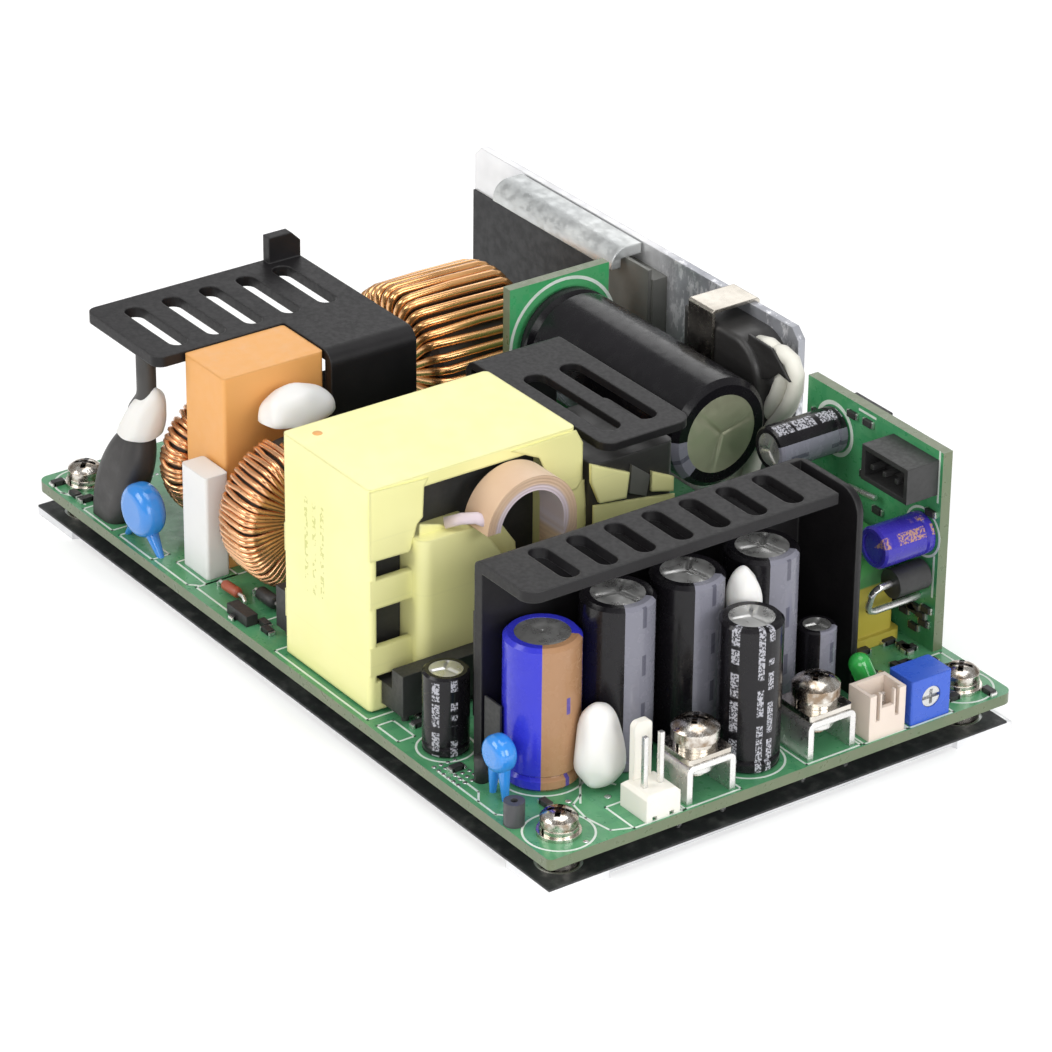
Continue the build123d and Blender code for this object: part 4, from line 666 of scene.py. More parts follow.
# Finishes: second is the colour of a finish's blotches
looks = {
    "aluminiumSheet": {
        "colour": (0.90, 0.90, 0.91), "second": (0.82, 0.82, 0.84),
        "metal": 0.6, "rough": 0.42, "roughSpread": 0.12, "grain": 500.0, "depth": 0.008, "edge": 0.25,
    },
    "roughAluminium": {
        "colour": (0.78, 0.80, 0.79), "second": (0.58, 0.60, 0.60),
        "metal": 0.8, "rough": 0.45, "roughSpread": 0.15, "grain": 700.0, "depth": 0.03, "bump": 0.5,
        "edge": 0.3,
    },
    "blackFilm": {
        "colour": (0.016, 0.016, 0.018), "second": (0.024, 0.024, 0.026),
        "rough": 0.55, "grain": 700.0, "dust": 0.10, "depth": 0.01,
    },
    "boardGreen": {
        "colour": (0.055, 0.25, 0.11), "second": (0.08, 0.29, 0.14),
        "rough": 0.34, "coat": 0.25, "depth": 0.012, "dust": 0.05,
    },
    "uprightGreen": {
        "colour": (0.045, 0.33, 0.11), "second": (0.06, 0.37, 0.14),
        "rough": 0.34, "coat": 0.25, "depth": 0.012,
    },
    "daughterGreen": {
        "colour": (0.045, 0.27, 0.10), "second": (0.06, 0.31, 0.13),
        "rough": 0.34, "coat": 0.25, "depth": 0.012,
    },
    "nickelPlate": {
        "colour": (0.78, 0.74, 0.68), "second": (0.62, 0.57, 0.50),
        "metal": 1.0, "rough": 0.20, "roughSpread": 0.10, "grain": 1400.0, "depth": 0.01, "edge": 0.15,
    },
    "cornerNickel": {
        "colour": (0.80, 0.77, 0.72), "second": (0.30, 0.22, 0.15),
        "metal": 1.0, "rough": 0.20, "roughSpread": 0.10, "grain": 5200.0, "edge": 0.15,
    },
    "tinPlate": {
        "colour": (0.86, 0.85, 0.83), "second": (0.74, 0.73, 0.71),
        "metal": 0.9, "rough": 0.30, "depth": 0.01, "edge": 0.2,
    },
    "springSteel": {
        "colour": (0.66, 0.62, 0.55), "second": (0.50, 0.46, 0.40),
        "metal": 1.0, "rough": 0.22, "grain": 800.0, "depth": 0.01, "edge": 0.2,
    },
    # the black heatsinks carry a painted highlight along their edges
    "blackHeatsink": {
        "colour": (0.0075, 0.0068, 0.0078), "second": (0.011, 0.010, 0.011),
        "rough": 0.46, "roughSpread": 0.05, "grain": 1600.0, "shine": 0.32, "edge": 0.35, "highlightShare": 0.35,
        "highlightColour": (0.12, 0.12, 0.12),
    },
    "copperThick": {
        "colour": (0.92, 0.50, 0.21), "second": (0.84, 0.42, 0.15),
        "metal": 0.85, "rough": 0.24, "grain": 350.0, "depth": 0.005, "coat": 0.5,
        "stretch": (1, 0.3, 1),
    },
    "copperFine": {
        "colour": (0.92, 0.52, 0.28), "second": (0.80, 0.40, 0.18),
        "metal": 0.85, "rough": 0.27, "grain": 350.0, "depth": 0.005, "coat": 0.5,
    },
    "coreCoat": {"colour": (0.03, 0.022, 0.018), "second": (0.05, 0.035, 0.025), "grain": 500.0},
    "orangeCase": {
        "colour": (0.82, 0.41, 0.13), "second": (0.78, 0.38, 0.115),
        "rough": 0.45, "grain": 600.0, "depth": 0.01, "edge": 0.5, "dust": 0.10, "deep": 0.05,
    },
    "whiteCase": {
        "colour": (0.80, 0.80, 0.79), "second": (0.76, 0.76, 0.76),
        "rough": 0.45, "grain": 600.0, "edge": 0.3, "depth": 0.01,
    },
    "whiteGlue": {
        "colour": (0.82, 0.82, 0.81), "second": (0.78, 0.77, 0.74),
        "rough": 0.42, "grain": 260.0, "depth": 0.05, "bump": 0.4, "deep": 0.15,
    },
    "whiteSleeve": {"colour": (0.78, 0.77, 0.70), "second": (0.72, 0.70, 0.62), "grain": 700.0},
    "blackSleeve": {
        "colour": (0.030, 0.028, 0.028), "second": (0.05, 0.048, 0.046),
        "rough": 0.48, "grain": 420.0, "depth": 0.12, "bump": 0.6, "dust": 0.10,
    },
    "blackTape": {
        "colour": (0.020, 0.019, 0.019), "second": (0.034, 0.033, 0.032),
        "rough": 0.40, "grain": 260.0, "depth": 0.12, "bump": 0.6, "stretch": (1, 1, 2.5), "edge": 0.4,
    },
    "blackPackage": {
        "colour": (0.022, 0.022, 0.022), "second": (0.034, 0.034, 0.034),
        "grain": 1500.0, "edge": 0.2,
    },
    "greyPackage": {
        "colour": (0.16, 0.16, 0.15), "second": (0.22, 0.22, 0.20),
        "rough": 0.38, "metal": 0.4, "grain": 700.0, "edge": 0.2,
    },
    "blueDip": {
        "colour": (0.03, 0.22, 0.66), "second": (0.03, 0.26, 0.74),
        "rough": 0.20, "grain": 260.0, "depth": 0.03, "coat": 0.6,
    },
    "offWhiteNylon": {
        "colour": (0.82, 0.80, 0.73), "second": (0.79, 0.77, 0.69),
        "rough": 0.42, "grain": 700.0, "edge": 0.25, "deep": 0.08, "depth": 0.01,
    },
    "beigeNylon": {
        "colour": (0.76, 0.66, 0.57), "second": (0.72, 0.61, 0.53),
        "rough": 0.45, "grain": 700.0, "edge": 0.2, "deep": 0.06, "depth": 0.01,
    },
    "lemonTape": {
        "colour": (0.90, 0.87, 0.42), "second": (0.86, 0.84, 0.37),
        "rough": 0.40, "grain": 400.0, "depth": 0.03, "bump": 0.35, "edge": 0.5, "coat": 0.15,
    },
    # painted shade: the standby transformer's yellow tape, darkened to olive in its colour
    "shadedYellowTape": {
        "colour": (0.42, 0.35, 0.04), "second": (0.50, 0.42, 0.07),
        "rough": 0.40, "grain": 400.0, "depth": 0.03, "bump": 0.35, "edge": 0.4,
    },
    "leadServing": {
        "colour": (0.66, 0.45, 0.30), "second": (0.72, 0.52, 0.36),
        "depth": 0.04, "bump": 0.5, "sheen": 0.3,
    },
    "lilacServing": {
        "colour": (0.66, 0.56, 0.62), "second": (0.72, 0.58, 0.52),
        "depth": 0.04, "bump": 0.5, "sheen": 0.3,
    },
    "redCoat": {"colour": (0.34, 0.07, 0.04), "second": (0.42, 0.12, 0.06), "rough": 0.35},
    "ferrite": {"colour": (0.05, 0.05, 0.055), "second": (0.08, 0.08, 0.085), "rough": 0.4},
    "fuseTube": {"colour": (0.74, 0.72, 0.66), "second": (0.68, 0.66, 0.60), "rough": 0.3, "grain": 600.0},
    "trimmerBlue": {
        "colour": (0.032, 0.10, 0.53), "second": (0.04, 0.12, 0.60),
        "rough": 0.30, "grain": 600.0, "edge": 0.25, "depth": 0.01,
    },
    "rotorMetal": {
        "colour": (0.74, 0.74, 0.73), "second": (0.60, 0.60, 0.60),
        "metal": 0.8, "rough": 0.30, "edge": 0.12,
    },
    "greenLamp": {
        "colour": (0.05, 0.50, 0.09), "second": (0.06, 0.56, 0.12),
        "rough": 0.12, "grain": 300.0, "clear": 0.35, "coat": 0.3, "depth": 0.005,
    },
    "silkWhite": {"colour": (0.72, 0.78, 0.72), "second": (0.60, 0.70, 0.62), "grain": 2400.0},
    "solder": {"colour": (0.80, 0.80, 0.80), "second": (0.68, 0.68, 0.69), "metal": 0.9, "rough": 0.25},
    "oliveLid": {
        "colour": (0.46, 0.47, 0.33), "second": (0.40, 0.41, 0.28),
        "metal": 0.55, "rough": 0.36, "grain": 700.0, "edge": 0.15,
    },
    "lidMetal": {
        "colour": (0.66, 0.66, 0.65), "second": (0.46, 0.46, 0.45),
        "metal": 0.85, "rough": 0.34, "roughSpread": 0.15, "grain": 500.0, "depth": 0.05, "bump": 0.5,
        "edge": 0.15,
    },
}
looks["terminalNickel"] = looks["cornerNickel"]
# The cans' shrunk sleeves: black, blue or violet
sleeveLook = {
    "colour": (0.006, 0.0055, 0.007), "second": (0.009, 0.008, 0.010),
    "rough": 0.24, "grain": 600.0, "depth": 0.015, "coat": 0.08, "shine": 0.28,
}
looks["bronzeCan"] = dict(sleeveLook, colour=(0.03, 0.032, 0.50), second=(0.035, 0.04, 0.58), coat=0.25)
looks["violetCan"] = dict(sleeveLook, colour=(0.03, 0.026, 0.33), second=(0.05, 0.035, 0.38), coat=0.25)
for can in ("outputCan", "rearCan", "bulkCan", "frontCan", "startCan", "boardCan"):
    looks[can] = sleeveLook

patterns = {
    "aluminiumSheet": wallPattern,
    "roughAluminium": brushedPattern((0.03, 1, 1)),
    "boardGreen": boardPattern((0.0, 0.0, 1.0)),
    "uprightGreen": boardPattern((1.0, 0.0, 0.0)),
    "daughterGreen": boardPattern((0.0, 1.0, 0.0)),
    # painted shade in the screws' cross recesses
    "cornerNickel": recessShadePattern(across=58.42, along=33.02),
    "terminalNickel": recessShadePattern(across=58.8, along=9.85, middle=-2.05),
    "lemonTape": tapePattern,
    "shadedYellowTape": splitPattern(level=9.4, above=(0.05, 0.24, 0.06)),
    "leadServing": servingPattern,
    "outputCan": stripePattern(outputStripes, greyStripe, boxMark),
    "rearCan": stripePattern(rearStripes, greyStripe, boxMark),
    "bulkCan": stripePattern(bulkStripes, greyStripe, boxMark),
    "bronzeCan": stripePattern(bronzeStripes, bronzeStripe, bronzeMark),
    "frontCan": printPattern(frontColumns, greyPrint, run=2.4),
    "startCan": printPattern(startColumns, greyPrint, run=1.8),
    "violetCan": printPattern(violetColumns, warmPrint, run=3.0),
    "boardCan": inTurn(
        stripePattern(boardCanStripes, greyStripe, boxMark),
        printPattern(boardCanColumns, greyPrint, run=1.8)),
}
finishes = {name: makeFinish(name, look, patterns.get(name)) for name, look in looks.items()}
print("finishes built:", len(finishes))


# Which finish each CAD node wears
worn = {
    "aluminiumSheet": ["base_bracket"],
    "roughAluminium": ["clamp_bar"],
    "blackFilm": ["insulating_sheet"],
    "boardGreen": ["main_board"],
    "uprightGreen": ["capacitor_board"],
    "daughterGreen": ["daughter_board"],
    "nickelPlate": ["board_standoffs", "spring_washers", "flat_washers", "clamp_screws", "terminal_plates"],
    "cornerNickel": ["corner_screws"],
    "terminalNickel": ["terminal_screws"],
    "tinPlate": ["terminal_frames", "header_pins"],
    "springSteel": ["spring_clip"],
    "blackHeatsink": ["input_heatsink", "middle_heatsink", "output_heatsink"],
    "coreCoat": ["boost_choke_core", "right_choke_core", "left_choke_core"],
    "copperThick": ["boost_choke_winding"],
    "copperFine": ["right_choke_winding", "left_choke_winding"],
    "orangeCase": ["film_capacitor"],
    "whiteCase": ["white_box_capacitor"],
    "whiteSleeve": ["white_lead_sleeves"],
    "blackSleeve": ["sleeved_varistor", "black_lead_sleeve"],
    "blackTape": ["taped_device", "taped_choke"],
    "blackPackage": ["bridge_rectifier", "output_rectifiers", "board_diode", "board_header",
                     "small_board_parts", "transformer_bobbin"],
    "greyPackage": ["wall_transistors"],
    "blueDip": ["disc_capacitor", "small_disc_capacitor"],
    "offWhiteNylon": ["input_header", "output_header"],
    "beigeNylon": ["control_socket"],
    "fuseTube": ["input_fuse"],
    "lemonTape": ["transformer_body"],
    "shadedYellowTape": ["standby_transformer"],
    "leadServing": ["transformer_lead"],
    "bulkCan": ["bulk_capacitor"],
    "outputCan": ["output_capacitors"],
    "frontCan": ["front_capacitor"],
    "rearCan": ["rear_capacitor"],
    "startCan": ["start_capacitor"],
    "boardCan": ["board_capacitor"],
    "bronzeCan": ["bronze_capacitor"],
    "violetCan": ["violet_capacitor"],
    "ferrite": ["ferrite_bead"],
    "trimmerBlue": ["trimmer_body"],
    "rotorMetal": ["trimmer_rotor"],
    "greenLamp": ["power_lamp"],
}


def dressNodes():
    for finish, members in worn.items():
        for node in members:
            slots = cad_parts[node].data.materials
            slots.clear()
            slots.append(finishes[finish])
    print("nodes dressed:", sum(len(members) for members in worn.values()))


# Short cuts for meshes
printThick = 0.03 * mm
upward, downward = (0, 0, 1), (0, 0, -1)


def overDeck(x, y, z=0.0):
    return Vector((x * mm, y * mm, deck + z * mm))


def inMetres(profile):
    return [(radius * mm, height * mm) for radius, height in profile]


def acrossFrom(axis):
    # a unit axis and two directions across it
    axis = Vector(axis).normalized()
    side = axis.orthogonal().normalized()
    return axis, side, axis.cross(side)


class Build:
    # gathers several shapes into one mesh
    def __init__(self):
        self.points, self.faces = [], []

    def add(self, points, faces):
        first = len(self.points)
        self.points.extend(points)
        self.faces.extend([tuple(first + corner for corner in face) for face in faces])

    def tube(self, path, radius, sides=8, flat=1.0):
        # one radius for all of the path, or a list with one for each point
        path = [Vector(point) for point in path]
        last = len(path) - 1
        radii = radius if isinstance(radius, (list, tuple)) else [radius] * len(path)
        side = (path[1] - path[0]).normalized().orthogonal().normalized()
        points, faces = [], []
        for index, (point, wide) in enumerate(zip(path, radii)):
            ahead = (path[min(index + 1, last)] - path[max(index - 1, 0)]).normalized()
            side = (side - ahead * side.dot(ahead)).normalized()
            other = ahead.cross(side)
            for corner in range(sides):
                turn = 2 * math.pi * corner / sides
                points.append(point + side * math.cos(turn) * wide + other * math.sin(turn) * wide * flat)
        for here in range(0, last * sides, sides):
            there = here + sides
            for corner in range(sides):
                nextCorner = (corner + 1) % sides
                faces.append((here + corner, here + nextCorner, there + nextCorner, there + corner))
        faces.append(tuple(reversed(range(sides))))
        faces.append(tuple(last * sides + corner for corner in range(sides)))
        self.add(points, faces)

    def turned(self, profile, place, axis=upward, sides=24):
        # a profile of (radius, height) pairs, turned about an axis
        axis, side, other = acrossFrom(axis)
        place = Vector(place)
        points, faces, rows = [], [], []
        for radius, height in profile:
            if radius < 1e-7:  # a point on the axis
                rows.append([len(points)])
                points.append(place + axis * height)
                continue
            rows.append(list(range(len(points), len(points) + sides)))
            for corner in range(sides):
                turn = 2 * math.pi * corner / sides
                around = side * math.cos(turn) + other * math.sin(turn)
                points.append(place + around * radius + axis * height)
        for low, high in zip(rows, rows[1:]):
            for corner in range(sides):
                nextCorner = (corner + 1) % sides
                if len(low) == 1:
                    faces.append((low[0], high[nextCorner], high[corner]))
                elif len(high) == 1:
                    faces.append((low[corner], low[nextCorner], high[0]))
                else:
                    faces.append((low[corner], low[nextCorner], high[nextCorner], high[corner]))
        self.add(points, faces)

    def box(self, low, high):
        x, y, z = zip(low, high)
        corners = [Vector((x[i], y[j], z[k])) for k in (0, 1) for j in (0, 1) for i in (0, 1)]
        faces = [(0, 2, 3, 1), (4, 5, 7, 6), (0, 1, 5, 4), (2, 6, 7, 3), (0, 4, 6, 2), (1, 3, 7, 5)]
        self.add(corners, faces)

    def plate(self, outline, away):
        # a flat plate with the given outline, thickened by the vector away
        away = Vector(away)
        count = len(outline)
        points = [Vector(point) for point in outline] + [Vector(point) + away for point in outline]
        faces = [tuple(reversed(range(count))), tuple(range(count, 2 * count))]
        for corner in range(count):
            nextCorner = (corner + 1) % count
            faces.append((corner, nextCorner, count + nextCorner, count + corner))
        self.add(points, faces)

    def bar(self, start, end, along, side, away):
        # a plate round a line, longer by along at each end and wide by side to each side
        outline = [start - along - side, end + along - side, end + along + side, start - along + side]
        self.plate(outline, away)

    def strip(self, path, width, normal, closed=False):
        # a thin printed line along a path on a flat face
        normal = Vector(normal)
        path = [Vector(point) for point in path]
        if closed:
            path.append(path[0])
        for start, end in zip(path, path[1:]):
            along = (end - start).normalized() * width * mm / 2
            self.bar(start, end, along, along.cross(normal), normal * printThick)

    def ring(self, place, radius, width, normal=upward, sides=40):
        low, high = (radius - width / 2) * mm, (radius + width / 2) * mm
        self.turned([(low, 0), (low, printThick), (high, printThick), (high, 0)], place, normal, sides)


def makePiece(name, build, finish, smooth=True):
    mesh = bpy.data.meshes.new(name)
    mesh.from_pydata([tuple(point) for point in build.points], [], build.faces)
    mesh.validate()
    mesh.materials.append(finishes[finish])
    mesh.polygons.foreach_set("use_smooth", [smooth] * len(mesh.polygons))
    piece = bpy.data.objects.new(name, mesh)
    bpy.context.scene.collection.objects.link(piece)
    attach(piece, supply)
    return piece


# Windings: one wire led round and round the ring's section, in mm and degrees
boostTurns = {
    "centre": (-38.7, 16.0, 14.0), "axis": (0, 1, 0), "zero": (0, 0, -1),
    "outer": 12.2, "inner": 6.6, "width": 16.6, "wire": 1.3, "turns": 40, "gap": 15.0,
    "shoulder": 1.8, "layers": 2, "nest": 0.95, "wander": 0.5, "lean": 0.35, "bow": 0.012, "sides": 8,
    "innerRound": 0.9, "innerShare": 0.3, "cornerSteps": 4,
}
rightTurns = dict(
    boostTurns, centre=(-16.0, -24.2, 11.5), axis=(1, 0, 0), outer=10.1, inner=4.5, width=6.8, wire=0.85,
    turns=30, gap=12.0, shoulder=1.6, wander=0.7, sides=6)
leftTurns = dict(rightTurns, centre=(-38.2, -22.0, 10.4), outer=9.0, width=4.0, turns=27)
halves = [(0, 180), (180, 360)]
windings = {
    "boostWinding": {"coil": boostTurns, "spans": [(0, 360)], "node": "boost_choke_winding",
                     "finish": "copperThick", "slot": "thick copper wire"},
    "rightWinding": {"coil": rightTurns, "spans": halves, "node": "right_choke_winding",
                     "finish": "copperFine", "slot": "fine copper wire"},
    "leftWinding": {"coil": leftTurns, "spans": halves, "node": "left_choke_winding",
                    "finish": "copperFine", "slot": "fine copper wire"},
}


def turnOutline(coil, deep):
    # one turn round the ring's section, as (radius, aside) pairs from the middle of its outer side
    half = coil["width"] / 2 + coil["wire"] / 2
    outer, inner = coil["outer"] + coil["wire"] / 2, coil["inner"] - coil["wire"] / 2 - deep
    shoulder, small = coil["shoulder"], min(coil["innerRound"], inner * coil["innerShare"])
    steps = coil["cornerSteps"]
    outline = [(outer, 0.0)]
    for middleR, middleA, size, first in (
        (outer - shoulder, half - shoulder, shoulder, 0),
        (inner + small, half - small, small, 90),
        (inner + small, -half + small, small, 180),
        (outer - shoulder, -half + shoulder, shoulder, 270),
    ):
        for part in range(steps):
            turnBy = math.radians(first + part * 90 / (steps - 1))
            outline.append((middleR + size * math.cos(turnBy), middleA + size * math.sin(turnBy)))
    return outline, outer, half


def windTurns(build, coil, start, end):
    random.seed(coil["turns"])
    axis, zero = Vector(coil["axis"]), Vector(coil["zero"])
    around = axis.cross(zero)
    centre = overDeck(*coil["centre"])
    step = (end - start) / coil["turns"]
    path = []
    for turn in range(coil["turns"]):
        outline, outer, half = turnOutline(coil, coil["wire"] * coil["nest"] * (turn % coil["layers"]))
        sway = random.uniform(-1, 1) * coil["wander"]
        for index, (radius, aside) in enumerate(outline):
            angle = math.radians(start + (turn + index / len(outline)) * step)
            bow = 1 + coil["bow"] * math.cos(math.pi * aside / (2 * half))
            outward = (zero * math.cos(angle) + around * math.sin(angle)) * (radius * bow)
            sideways = around * math.cos(angle) - zero * math.sin(angle)
            lean = sideways * sway * (radius / outer) * coil["lean"]
            path.append(centre + (outward + lean + axis * aside) * mm)
    build.tube(path, coil["wire"] / 2 * mm, coil["sides"])


def makeWindings():
    for name, winding in windings.items():
        build, coil = Build(), winding["coil"]
        for start, end in winding["spans"]:
            windTurns(build, coil, start + coil["gap"], end - coil["gap"])
        piece = makePiece(name, build, winding["finish"])
        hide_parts(winding["node"])
    print("windings wound:", len(windings))


# Glue beads that hold the tall parts: flat is how much of the height goes below the place
glueBeads = {
    "chokeBead": {"place": (-20.7, -20.9, 23.2), "size": (3.9, 5.6, 4.4), "lean": (0, 0), "flat": 0.1},
    "sleeveBead": {"place": (-43.4, -32.6, 14.4), "size": (3.2, 3.2, 7.6), "lean": (0.40, 0.1), "flat": 0.08},
    "frontDrop": {"place": (51.9, -22.0, 3.9), "size": (3.1, 3.6, 8.2), "lean": (-0.06, 0.0), "flat": 0.45},
    "canCone": {"place": (51.2, 1.3, 19.0), "size": (2.6, 2.4, 5.4), "lean": (0, 0), "flat": 0.5},
}
glueRipple = {"depth": 0.10, "pitch": 1.6, "apart": 7.0, "divisions": 4}


def makeGlue():
    for index, (name, bead) in enumerate(glueBeads.items()):
        shape = bmesh.new()
        bmesh.ops.create_icosphere(shape, subdivisions=glueRipple["divisions"], radius=1.0)
        place, (leanX, leanY) = overDeck(*bead["place"]), bead["lean"]
        wide, long, tall = bead["size"]
        shift = Vector((index * glueRipple["apart"], 0, 0))
        points = []
        for vert in shape.verts:
            unit = vert.co
            ripple = 1 + glueRipple["depth"] * noise.noise(unit * glueRipple["pitch"] + shift)
            rise = unit.z if unit.z > 0 else unit.z * bead["flat"]
            point = Vector((unit.x * wide, unit.y * long, rise * tall)) * ripple
            point.x += leanX * point.z
            point.y += leanY * point.z
            points.append(place + point * mm)
        build = Build()
        build.add(points, [tuple(vert.index for vert in face.verts) for face in shape.faces])
        shape.free()
        makePiece(name, build, "whiteGlue")
    print("glue beads set:", len(glueBeads))


# End discs of the cans, with a pressed score: (x, y, level, radius of the can)
standingLids = {
    "output_capacitors": [(x, y, 24.3, 5.0) for x, y in outputCans],
    "bronze_capacitor": [(45.2, -26.4, 21.0, 5.15)],
    "front_capacitor": [(57.45, -2.2, 21.3, 4.25)],
    "rear_capacitor": [(50.6, 14.3, 11.8, 2.65)],
    "start_capacitor": [(32.8, -32.8, 11.8, 3.15)],
}
lidPress = {
    "rings": 14, "sectors": 72, "dome": 0.12, "sunk": 0.05, "middleSunk": 3,
    "arms": (90, 210, 330), "score": 0.22, "scoreWide": 0.28, "scoreReach": 0.88,
    "share": 0.74, "boardShare": 0.72, "bulkRadius": 5.9, "unscored": "bronze_capacitor",
}


def lidShape(build, place, axis, radius, scored=True):
    # a domed disc, its middle and its arms pressed down
    axis, side, other = acrossFrom(axis)
    place = Vector(place)
    rings, sectors, sunk = lidPress["rings"], lidPress["sectors"], lidPress["sunk"]
    arms = [math.radians(arm) for arm in lidPress["arms"]] if scored else []
    points, faces = [place - axis * sunk * mm * lidPress["middleSunk"]], []
    for ring in range(1, rings + 1):
        far = radius * ring / rings
        depth = lidPress["score"] if far < radius * lidPress["scoreReach"] else 0.0
        dome = lidPress["dome"] * (1 - (far / radius) ** 2)
        for sector in range(sectors):
            turn = 2 * math.pi * sector / sectors
            nearest = min((abs(math.sin((turn - arm) / 2)) * 2 * far for arm in arms), default=radius)
            pressed = depth * math.exp(-((nearest / lidPress["scoreWide"]) ** 2))
            around = (side * math.cos(turn) + other * math.sin(turn)) * far * mm
            points.append(place + around + axis * ((dome - pressed - sunk) * mm))
    for sector in range(sectors):
        faces.append((0, 1 + sector, 1 + (sector + 1) % sectors))
    for ring in range(rings - 1):
        low, high = 1 + ring * sectors, 1 + (ring + 1) * sectors
        for sector in range(sectors):
            nextSector = (sector + 1) % sectors
            faces.append((low + sector, high + sector, high + nextSector, low + nextSector))
    build.add(points, faces)


def makeLids():
    for node, cans in standingLids.items():
        build = Build()
        for x, y, level, radius in cans:
            scored = node != lidPress["unscored"]
            lidShape(build, overDeck(x, y, level), upward, radius * lidPress["share"], scored)
        makePiece(node + "_lids", build, "lidMetal")
    low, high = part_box("bulk_capacitor")
    build = Build()
    lidShape(build, (high.x, (low.y + high.y) / 2, (low.z + high.z) / 2), (1, 0, 0), lidPress["bulkRadius"])
    makePiece("bulk_capacitor_lid", build, "oliveLid")
    low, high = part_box("board_capacitor")
    build = Build()
    radius = (high.x - low.x) / 2 / mm * lidPress["boardShare"]
    lidShape(build, ((low.x + high.x) / 2, low.y, (low.z + high.z) / 2), (0, -1, 0), radius)
    makePiece("board_can_lid", build, "lidMetal")
    print("can lids pressed")


# Printed lines and rings on the main board: plain outlines round the parts
boardPrint = {
    "rings": [
        (58.42, -33.02, 4.7), (-58.42, -33.02, 4.5), (58.42, 33.02, 4.5), (-58.42, 33.02, 4.5),
        (57.45, -2.2, 5.0), (45.2, -26.4, 5.9), (32.8, -32.8, 3.9), (50.6, 14.3, 3.3),
    ],
    "outlines": [
        (55.3, -16.4, 63.0, -7.4), (55.3, 3.3, 63.0, 12.3), (56.9, -24.6, 63.1, -16.8),
        (57.6, 12.8, 63.1, 20.0), (57.4, 20.3, 63.2, 27.9), (-1.4, -37.3, 21.2, -2.6),
        (-30.4, -35.0, -22.6, -29.9), (-41.8, -37.4, -33.0, -34.6), (-51.6, -37.5, -43.6, -31.0),
        (-22.6, -36.6, -9.2, -12.4), (-62.8, -12.0, -54.6, 4.0), (23.2, -37.2, 28.2, -34.6),
        (52.8, 27.6, 57.0, 29.6), (49.8, 33.6, 53.4, 36.8),
    ],
    "lines": [
        [(37.6, -37.2), (50.4, -37.2), (52.6, -35.0)],
        [(39.0, -35.8), (44.6, -35.8), (46.6, -37.2)],
        [(52.6, -25.4), (54.0, -27.6), (57.6, -28.2), (61.8, -27.4), (62.8, -25.0)],
        [(54.2, -26.6), (48.6, -22.6), (53.0, -20.2)],
        [(-62.0, -26.0), (-60.0, -28.0), (-54.2, -28.0)],
        [(-52.6, -36.6), (-56.4, -36.6), (-57.6, -37.6)],
        [(-32.4, -37.2), (-24.0, -37.2), (-22.8, -36.0)],
    ],
    "width": 0.30,
}


def makeBoardPrint():
    silk, width = Build(), boardPrint["width"]
    for x, y, radius in boardPrint["rings"]:
        silk.ring(overDeck(x, y), radius, width)
    for left, near, right, far in boardPrint["outlines"]:
        corners = [(left, near), (right, near), (right, far), (left, far)]
        silk.strip([overDeck(x, y) for x, y in corners], width, upward, closed=True)
    for line in boardPrint["lines"]:
        silk.strip([overDeck(x, y) for x, y in line], width, upward)
    makePiece("boardPrint", silk, "silkWhite", smooth=False)
    print("main board printed")


def footprints():
    # the boxes of the parts that stand on the board, in mm, as (left, near, right, far)
    reach, lift, longest = 1.0 * mm, 0.3 * mm, 60 * mm
    found = []
    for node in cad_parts:
        low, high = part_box(node)
        stands = low.z < deck + reach and high.z > deck + lift
        if stands and high.x - low.x < longest and "heatsink" not in node and "board" not in node:
            found.append((low.x / mm, low.y / mm, high.x / mm, high.y / mm))
    return found


def isFree(x, y, taken, margin):
    return not any(left - margin < x < right + margin and near - margin < y < far + margin
                   for left, near, right, far in taken)


# Solder: scattered dots, a block of dots in rows, and the terminals' tips under the board
vias = {
    "count": 190, "radius": 0.34, "sizes": (0.7, 1.5), "top": 0.8, "sides": 10, "seed": 11, "apart": 0.5,
    "x": (-62.3, 62.3), "y": (-37.0, 35.5),
}
viaBlock = {"corner": (36.2, -37.0), "pitch": 1.1, "rows": 4, "columns": 6}
underTips = {
    "places": [(62.55, -17.1), (62.55, -10.0), (62.55, 3.1), (62.55, 10.2)],
    "profile": [(0.9, 0), (0.5, 0.4), (0.22, 1.1), (0, 1.25)], "sides": 14,
}


def solderDot(build, place, radius):
    profile = [(radius, 0), (radius * vias["top"], printThick * 2), (0, printThick)]
    build.turned(profile, place, upward, vias["sides"])


def makeSolderDots():
    taken, dots, radius = footprints(), Build(), vias["radius"] * mm
    random.seed(vias["seed"])
    for dot in range(vias["count"]):
        x, y = random.uniform(*vias["x"]), random.uniform(*vias["y"])
        if isFree(x, y, taken, vias["apart"]):
            solderDot(dots, overDeck(x, y), radius * random.uniform(*vias["sizes"]))
    left, near = viaBlock["corner"]
    for row in range(viaBlock["rows"]):
        for column in range(viaBlock["columns"]):
            place = overDeck(left + column * viaBlock["pitch"], near + row * viaBlock["pitch"])
            solderDot(dots, place, radius)
    tip = inMetres(underTips["profile"])
    for x, y in underTips["places"]:
        dots.turned(tip, (x * mm, y * mm, boardUnder), downward, underTips["sides"])
    makePiece("solderDots", dots, "solder")
    print("solder set clear of", len(taken), "footprints")


# Chips: a few at chosen places, and others scattered in fields; long, wide and end are half sizes
chips = {
    "seed": 5,
    "places": [
        (-55.6, -36.4), (-12.0, -36.6), (-6.2, -35.4), (-8.3, -31.2), (24.6, -30.8), (26.2, -32.6),
        (38.4, -35.0), (42.6, -31.0), (52.2, -30.6), (60.6, 29.9), (54.4, 34.4), (62.0, 35.0),
    ],
    "corner": {"count": 20, "first": (43.8, 55.0), "second": (22.4, 34.0)},
    "nearEdge": {"count": 40, "first": (-61.0, 36.0), "second": (-37.0, -29.5)},
    "apart": 1.6, "long": 0.9, "wide": 0.5, "high": 0.75, "lengthways": 0.6,
    "end": 0.3, "endHigh": 0.55,
}
